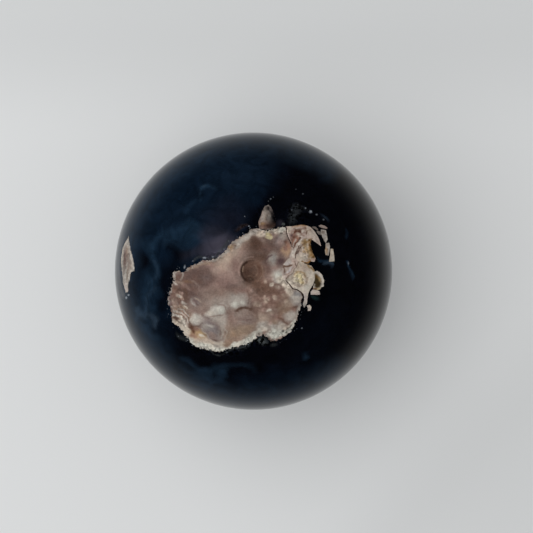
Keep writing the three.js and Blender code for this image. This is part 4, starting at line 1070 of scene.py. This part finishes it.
class Board:
    """A node tree that adds any node: its kind, its settings, and what its sockets are given."""

    def __init__(self, tree):
        self.tree = tree
        tree.nodes.clear()

    def add(self, kind, settings=None, sockets=None, out=0):
        node = self.tree.nodes.new(kind)
        for name, value in (settings or {}).items():
            setattr(node, name, value)
        for name, value in (sockets or {}).items():
            socket = self.find(node.inputs, name)
            if isinstance(value, Wire):
                self.tree.links.new(value.socket, socket)
            else:
                socket.default_value = value
        return Wire(self, self.find(node.outputs, out)) if node.outputs else node

    def find(self, sockets, name):
        if isinstance(name, int):
            return sockets[name]
        matches = [socket for socket in sockets if name in (socket.identifier, socket.name)]
        exact = [socket for socket in matches if socket.identifier == name]
        return (exact or matches)[0]

    def read(self, name, out="Fac"):
        return self.add("ShaderNodeAttribute", {"attribute_name": name}, out=out)

    def either(self, first, second):
        return self.add("ShaderNodeMath", {"operation": "MAXIMUM"}, {0: first, 1: second})

    def grey(self, colour):
        return self.add("ShaderNodeRGBToBW", {}, {0: colour})

    def ease(self, value, low_edge, high_edge, to_low=0.0, to_high=1.0):
        """Goes smoothly from one value to another as the wire passes between two edges."""
        sockets = {0: value, 1: low_edge, 2: high_edge, 3: to_low, 4: to_high}
        return self.add("ShaderNodeMapRange", {"interpolation_type": "SMOOTHSTEP"}, sockets)

    def mix(self, share, first, second, blend="MIX"):
        settings = {"data_type": "RGBA", "blend_type": blend, "clamp_factor": True}
        sockets = {"Factor_Float": share, "A_Color": first, "B_Color": second}
        return self.add("ShaderNodeMix", settings, sockets, "Result_Color")

    def noise(self, where, size, detail=2.0, roughness=0.5, warp=0.0, out="Fac"):
        sockets = {"Vector": where, "Scale": 1 / size, "Detail": detail}
        sockets |= {"Roughness": roughness, "Distortion": warp}
        return self.add("ShaderNodeTexNoise", {}, sockets, out)

    def cells(self, where, size, feature="F1", out="Distance"):
        sockets = {"Vector": where, "Scale": 1 / size}
        return self.add("ShaderNodeTexVoronoi", {"feature": feature}, sockets, out)

    def part(self, where, axis):
        return self.add("ShaderNodeSeparateXYZ", {}, {0: where}, axis)

    def scaled(self, vector, share):
        return self.add("ShaderNodeVectorMath", {"operation": "SCALE"}, {0: vector, "Scale": share})

    def vector(self, operation, first, second=None, out="Vector"):
        sockets = {0: first} if second is None else {0: first, 1: second}
        return self.add("ShaderNodeVectorMath", {"operation": operation}, sockets, out)


def rgb(red, green, blue):
    return (red, green, blue, 1.0)


def colour_of(tint):
    return rgb(*TINTS[tint])


# %% [markdown]
# ## Small knobs, by Geometry Nodes
# Where the lining is knobby it has hundreds of domes like tiny grapes, each well under a
# millimetre. A rule makes them better than a hand does: round cells, one dome in each, only where
# the knob mask says so. The same tree wears the lining down and keeps the domes' height as an
# attribute, so the colours meet the shape. A Realize Instances and a Set Material end the tree.

# %% The wearing tree
KNOB_SIZE, KNOB_HEIGHT, CRACK_DEPTH, SEED = 1.05, 0.07, 0.10, 7.0


def tree_input(tree, name, kind, value):
    socket = tree.interface.new_socket(name, in_out="INPUT", socket_type=kind)
    if value is not None:
        socket.default_value = value
    return socket.identifier


def named(board, name):
    """Reads a float attribute inside a Geometry Nodes tree."""
    return board.add("GeometryNodeInputNamedAttribute", {"data_type": "FLOAT"}, {"Name": name}, "Attribute")


def wearing_tree():
    tree = bpy.data.node_groups.new("Wear down the lining", "GeometryNodeTree")
    tree.interface.new_socket("Geometry", in_out="INPUT", socket_type="NodeSocketGeometry")
    sizes = {
        "Knob size": KNOB_SIZE / METRE, "Knob height": KNOB_HEIGHT / METRE,
        "Crack depth": CRACK_DEPTH / METRE, "Middle": MIDDLE / METRE, "Seed": SEED,
    }
    identifiers = {name: tree_input(tree, name, "NodeSocketFloat", value) for name, value in sizes.items()}
    identifiers["Finish"] = tree_input(tree, "Finish", "NodeSocketMaterial", None)
    tree.interface.new_socket("Geometry", in_out="OUTPUT", socket_type="NodeSocketGeometry")

    board = Board(tree)
    entry = tree.nodes.new("NodeGroupInput")
    given = {name: Wire(board, board.find(entry.outputs, key)) for name, key in identifiers.items()}
    ball = Wire(board, entry.outputs["Geometry"])

    place = board.add("GeometryNodeInputPosition")
    shifted = board.vector("ADD", place, board.add("ShaderNodeCombineXYZ", {}, {"X": given["Seed"]}))
    knob_size = board.add("ShaderNodeCombineXYZ", {}, {axis: given["Knob size"] for axis in "XYZ"})
    for_cells = board.vector("DIVIDE", shifted, knob_size)
    sockets = {"Vector": for_cells, "Scale": 1.0, "Smoothness": 0.25}
    distance = board.add("ShaderNodeTexVoronoi", {"feature": "SMOOTH_F1"}, sockets, "Distance")
    dome = board.ease(distance, 0.62, 0.05)
    mask = board.ease(named(board, "knobs"), 0.15, 0.75)
    knob = dome * mask
    groove = board.ease(named(board, "crack"), 0.16, -0.02) * given["Crack depth"]
    lift = knob * given["Knob height"] - named(board, "worn") - groove

    settings = {"data_type": "FLOAT", "domain": "POINT"}
    sockets = {"Geometry": ball, "Name": "knob", "Value": knob}
    stored = board.add("GeometryNodeStoreNamedAttribute", settings, sockets)
    middle = board.add("ShaderNodeCombineXYZ", {}, {"Z": given["Middle"]})
    outward = board.vector("NORMALIZE", board.vector("SUBTRACT", place, middle))
    sockets = {"Geometry": stored, "Offset": board.scaled(outward, lift)}
    moved = board.add("GeometryNodeSetPosition", {}, sockets)
    shaded = board.add("GeometryNodeSetShadeSmooth", {}, {"Geometry": moved})
    real = board.add("GeometryNodeRealizeInstances", {}, {"Geometry": shaded})
    painted_ball = board.add("GeometryNodeSetMaterial", {}, {"Geometry": real, "Material": given["Finish"]})
    exit_node = tree.nodes.new("NodeGroupOutput")
    tree.links.new(painted_ball.socket, exit_node.inputs["Geometry"])
    return tree, identifiers


# %% [markdown]
# ## The finish
# One material covers the whole stone, because it was all polished at once. The dark body is a
# glossy dielectric whose colour is nearly black, so that what shows on it is the pale table,
# mirrored at its rim. The lining is the same polish over a paler, slightly softer mineral, so it
# is a little rougher. Noise breaks up the paint's edges and gives it grain. The side of the ball
# that hasn't been seen is left to noise alone: black, bluer towards the west, with faint folds.

# %% The dark body's colour
def body_colour(board, where):
    cloud = board.noise(where, 16.0, detail=3.0, warp=0.6)
    drift = board.noise(where, 3.2, detail=4.0, roughness=0.6, warp=1.0)
    seen = board.scaled(board.read("body_paint", "Color"), board.ease(drift, 0.30, 0.70, 0.72, 1.25))
    blue = board.ease(cloud, 0.40, 0.62) * (drift * 0.8 + 0.4)
    hidden = board.mix(blue, colour_of("night"), colour_of("navy"))
    settings = {"wave_type": "BANDS", "bands_direction": "DIAGONAL"}
    sockets = {"Vector": where, "Scale": 0.05, "Distortion": 9.0, "Detail": 3.0, "Detail Scale": 0.9}
    folds = board.add("ShaderNodeTexWave", settings, sockets, "Fac")
    veil = board.ease(folds, 0.72, 1.0) * board.ease(cloud, 0.50, 0.70) * board.ease(drift, 0.3, 0.7)
    hidden = board.mix(veil * 0.6, hidden, colour_of("smoke"))
    west = board.ease(board.part(where, "X"), 12.0, -20.0, 0.0, 0.85)
    hidden = board.mix(west, hidden, colour_of("marine"))
    return board.mix(board.read("shown"), hidden, seen)


# %% The colour of the lining and of the bits
VEIN_SIZE, GRAIN_SIZE = 1.1, 0.42


def skin_colour(board, where):
    mottle = board.noise(where, 1.5, detail=4.0, roughness=0.6)
    grain = board.noise(where, 0.40, detail=3.0, roughness=0.6)
    light = board.ease(mottle, 0.30, 0.70, 0.86, 1.13) * board.ease(grain, 0.25, 0.75, 0.87, 1.12)
    colour = board.scaled(board.read("skin_paint", "Color"), light)
    warm = board.ease(board.noise(where, 2.6, detail=3.0), 0.45, 0.70, 0.0, 0.5)
    colour = board.mix(warm, colour, board.mix(1.0, colour, rgb(1.06, 0.95, 0.90), "MULTIPLY"))

    crumbs = board.cells(where, GRAIN_SIZE, out="Color")
    spread_of_crumbs = board.ease(board.grey(crumbs), 0.15, 0.85, 0.56, 1.30)
    share = board.read("grains")
    colour = board.scaled(colour, share * (spread_of_crumbs - 1) + 1)

    knobs, knob = board.read("knobs"), board.read("knob")
    between = board.ease(knobs, 0.3, 1.0, 0.0, 0.40) * board.ease(knob, 0.45, 0.0)
    colour = board.mix(between, colour, colour_of("redbrown"))
    colour = board.scaled(colour, knob * 0.16 + 1)

    bent = board.vector("ADD", where, board.scaled(board.noise(where, 0.9, detail=2.0, out="Color"), 0.8))
    seam = board.ease(board.cells(bent, VEIN_SIZE, "DISTANCE_TO_EDGE"), 0.13, 0.03)
    veins = seam * board.read("veins") * board.ease(board.noise(where, 2.0), 0.42, 0.58)
    return board.mix(veins * 0.8, colour, colour_of("redbrown"))


# %% The whole finish
AGATE_IOR = 1.54


def agate_finish():
    material = bpy.data.materials.new("agate")
    material.use_nodes = True
    board = Board(material.node_tree)
    where = board.scaled(board.add("ShaderNodeTexCoord", out="Object"), METRE)
    fine_fray = (board.noise(where, 0.45, detail=3.0) - 0.5) * 1.1
    fray = fine_fray + (board.noise(where, 1.6, detail=2.0) - 0.5) * 0.5
    rim_depth = board.read("skin") + fray
    lining = board.ease(rim_depth, -0.04, 0.08)
    bits = board.ease(board.read("bits") + fray * 0.15, -0.02, 0.04)
    side = board.ease(board.read("side") + fray * 0.7, -0.04, 0.08)
    on_skin = board.either(board.either(lining, bits), side)

    skin = skin_colour(board, where)
    patchy = board.ease(board.noise(where, 1.0), 0.42, 0.60)
    pale_rim = board.ease(rim_depth, 0.55, 0.10) * lining * (1 - bits) * patchy
    skin = board.mix(pale_rim * 0.6, skin, colour_of("milk"))
    crack = board.ease(board.read("crack") + (board.noise(where, 0.4) - 0.5) * 0.12, 0.05, -0.04)
    skin = board.mix(crack, skin, colour_of("soot"))

    body = body_colour(board, where)
    lumps = board.ease(board.grey(board.cells(where, 0.42, out="Color")), 0.25, 0.75, 0.05, 2.1)
    body = board.scaled(body, board.read("grains") * (lumps - 1) + 1)
    crumb = board.ease(board.cells(where, 0.5), 0.30, 0.14) * board.ease(rim_depth, -1.1, -0.1)
    crumb = crumb * board.ease(board.noise(where, 1.1), 0.46, 0.60)
    body = board.mix(crumb * 0.55, body, colour_of("mote"))

    colour = board.mix(on_skin, body, skin)
    polish = board.ease(board.noise(where, 3.0), 0.3, 0.7, 0.045, 0.07)
    softer = board.ease(board.noise(where, 0.8, detail=3.0), 0.3, 0.7, 0.20, 0.34)
    roughness = polish + on_skin * (softer - polish)
    sockets = {"Strength": 0.35, "Distance": 0.00006, "Height": board.noise(where, 0.3, detail=3.0) * on_skin}
    bump = board.add("ShaderNodeBump", {}, sockets)
    sockets = {"Base Color": colour, "Roughness": roughness, "IOR": AGATE_IOR, "Normal": bump}
    finish = board.add("ShaderNodeBsdfPrincipled", {}, sockets)
    board.add("ShaderNodeOutputMaterial", {}, {"Surface": finish})
    return material


agate = agate_finish()
print("finish nodes:", len(agate.node_tree.nodes))

# %% [markdown]
# ## From the tree to a plain mesh
# The painted ball is moved up to stand on its flat spot, the spot is ground flat, and the tree is
# put on as a modifier. Its evaluated result becomes a plain mesh, and the modifier goes.

# %% Grinding the flat spot and wearing the lining
def grind_and_stand(mesh):
    """Grinds the flat spot and lifts the ball, now in metres, until it stands on it."""
    for vertex in mesh.vertices:
        vertex.co.z = max(vertex.co.z, -MIDDLE)
        vertex.co = (vertex.co + Vector((0, 0, MIDDLE))) / METRE


def plain_mesh(blank):
    settled = blank.evaluated_get(bpy.context.evaluated_depsgraph_get())
    return bpy.data.meshes.new_from_object(settled)


grind_and_stand(ball_mesh)
blank = bpy.data.objects.new("blank", ball_mesh)
bpy.context.scene.collection.objects.link(blank)
tree, identifiers = wearing_tree()
wearing = blank.modifiers.new("wear", "NODES")
wearing.node_group = tree
wearing[identifiers["Finish"]] = agate
stone_mesh = plain_mesh(blank)
blank.modifiers.clear()
bpy.data.objects.remove(blank)
stone_mesh.name = "volcano_agate"
stone = bpy.data.objects.new("volcano_agate", stone_mesh)
bpy.context.scene.collection.objects.link(stone)
print("stone:", len(stone_mesh.vertices), "points,", len(stone_mesh.polygons), "faces")

# %% [markdown]
# ## The map for baking
# A map made for this ball serves a bake of its finish best: one round sheet with the lining in its
# middle, so that no seam crosses what is looked at, and a small round sheet in a corner for the
# underside.

# %% One round sheet and its small underside
SHEET_MIDDLE, SHEET_ANGLE, SHEET_LAP = (-1.9, -3.0, 29.7), 140.0, 6.0
CAP_RADIUS, MAP_EDGE = 0.078, 0.004


def sheet_map(mesh):
    heading = np.array(SHEET_MIDDLE) / np.linalg.norm(SHEET_MIDDLE)
    along = np.cross([0.0, 1.0, 0.0], heading)
    along /= np.linalg.norm(along)
    up = np.cross(heading, along)
    co = np.array([vertex.co for vertex in mesh.vertices]) * METRE - [0, 0, MIDDLE]
    flat = co / np.linalg.norm(co, axis=1)[:, None]
    angle = np.arccos(np.clip(flat @ heading, -1, 1))
    bearing = np.arctan2(flat @ up, flat @ along)
    faces = np.array([polygon.vertices[:] for polygon in mesh.polygons])
    on_cap = angle[faces].max(axis=1) > np.radians(SHEET_ANGLE)
    limit = np.sin(np.radians(SHEET_ANGLE / 2))
    radius = (0.5 - MAP_EDGE) * np.sin(angle / 2) / limit
    sheet = 0.5 + radius[:, None] * np.stack([np.cos(bearing), np.sin(bearing)], axis=1)
    cap_reach = CAP_RADIUS * (np.pi - angle) / (np.pi - np.radians(SHEET_ANGLE - SHEET_LAP))
    cap_middle = CAP_RADIUS + MAP_EDGE
    cap = cap_middle + cap_reach[:, None] * np.stack([np.cos(bearing), -np.sin(bearing)], axis=1)
    uv = np.where(on_cap[:, None, None], cap[faces], sheet[faces])
    layer = mesh.uv_layers.new(name="OFBake")
    layer.uv.foreach_set("vector", uv.astype(np.float32).ravel())
    return int(on_cap.sum())


print("faces on the small sheet:", sheet_map(stone_mesh))

# %% [markdown]
# ## Joining the frame
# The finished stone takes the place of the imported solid, rides on its one body, and has one slot
# for its finish.

# %% Joining the stone to the frame
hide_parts("stone")
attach(stone, "root")
print("stone joined to the frame")

# %% [markdown]
# ## The table
# A plain pale table. The stone mirrors it at its rim, and there the mirrored table has to darken with
# its distance, as a small table in a dark room does, so the floor's colour falls off for glossy rays
# alone. Its far side and its right corner get painted shade, a little darker.

# %% Floor
FLOOR_HALF = 1.5
# The second colour is the table's painted shade, at its far side and right corner.
FLOOR_SHADE, PAINTED_FAR_SHADE = rgb(0.80, 0.81, 0.81), rgb(0.72, 0.73, 0.73)
FAR_EDGE, CORNER_EDGE, CORNER_COVER = (0.030, 0.058), (0.072, 0.100), 0.75
MIRROR_REACH, MIRROR_FALL, MIRROR_LOSS = 1.9 * BALL / METRE, 3.2, 0.99


def floor_finish():
    material = bpy.data.materials.new("table")
    material.use_nodes = True
    board = Board(material.node_tree)
    place = board.add("ShaderNodeTexCoord", out="Object")
    away = board.vector("LENGTH", place, out="Value")
    one = (away * (1 / MIRROR_REACH)) ** MIRROR_FALL + 1.0
    fade = board.add("ShaderNodeMath", {"operation": "DIVIDE"}, {0: 1.0, 1: one})
    mirrored = board.add("ShaderNodeLightPath", out="Is Glossy Ray")
    share = mirrored * (1 - fade) * MIRROR_LOSS
    # painted shade: the table darkens towards its far side and its right corner
    east, north = board.part(place, "X"), board.part(place, "Y")
    corner = board.ease(east - north, *CORNER_EDGE) * CORNER_COVER
    far = board.either(board.ease(north, *FAR_EDGE), corner)
    colour = board.mix(share, board.mix(far, FLOOR_SHADE, PAINTED_FAR_SHADE), rgb(0.0, 0.0, 0.0))
    sockets = {"Base Color": colour, "Roughness": 0.9, "Specular IOR Level": 0.0}
    surface = board.add("ShaderNodeBsdfPrincipled", {}, sockets)
    board.add("ShaderNodeOutputMaterial", {}, {"Surface": surface})
    return material


def floor_mesh(half):
    mesh = bpy.data.meshes.new("table")
    corners = [(-half, -half, 0), (half, -half, 0), (half, half, 0), (-half, half, 0)]
    mesh.from_pydata(corners, [], [(0, 1, 2, 3)])
    mesh.materials.append(floor_finish())
    return mesh


floor = bpy.data.objects.new("table", floor_mesh(FLOOR_HALF))
bpy.context.scene.collection.objects.link(floor)
print("table half-width, m:", FLOOR_HALF)

# %% [markdown]
# ## Light
# One broad soft light stands at the left and a little behind, so the shadow falls soft to the
# right. The rest of the light is even. Neither is mirrored in the polish, which shows a dark room.

# %% Lamp and room
LAMP_AIM = Vector((0, 0, 0.03))
LAMP_TINT, ROOM_TINT = (0.995, 0.998, 1.0), rgb(0.985, 0.992, 1.0)


def lamp(name, place, size, power):
    light = bpy.data.lights.new(name, "AREA")
    light.shape = "DISK"
    light.size = size
    light.energy = power
    light.color = LAMP_TINT
    holder = bpy.data.objects.new(name, light)
    holder.location = place
    holder.rotation_euler = (LAMP_AIM - Vector(place)).to_track_quat("-Z", "Y").to_euler()
    holder.visible_glossy = False
    bpy.context.scene.collection.objects.link(holder)
    return holder


def room(fill, seen, mirrored):
    world = bpy.data.worlds.new("room")
    world.use_nodes = True
    board = Board(world.node_tree)
    path = board.add("ShaderNodeLightPath", out="Is Camera Ray")
    glossy = board.add("ShaderNodeLightPath", out="Is Glossy Ray")
    strength = fill + path * (seen - fill) + glossy * (mirrored - fill)
    background = board.add("ShaderNodeBackground", {}, {"Color": ROOM_TINT, "Strength": strength})
    board.add("ShaderNodeOutputWorld", {}, {"Surface": background})
    bpy.context.scene.world = world


soft_lamp = lamp("soft_lamp", place=(-0.395, 0.070, 0.573), size=1.4, power=4.55)
room(fill=0.478, seen=0.66, mirrored=0.006)
print("lamp at, m:", [round(value, 3) for value in soft_lamp.location])

# %% [markdown]
# ## Camera
# It looks straight down from ten ball radii up, a little to the right of the stone's middle.

# %% Camera and view
LENS, SENSOR = 93.2, 36.0
camera_data = bpy.data.cameras.new("over_the_stone")
camera_data.lens = LENS
camera_data.sensor_width = SENSOR
camera = bpy.data.objects.new("over_the_stone", camera_data)
camera.location = (EYE + [0, 0, MIDDLE]) / METRE
bpy.context.scene.collection.objects.link(camera)
bpy.context.scene.camera = camera
bpy.context.scene.view_settings.view_transform = "Standard"
print("camera height, m:", round(camera.location.z, 4))
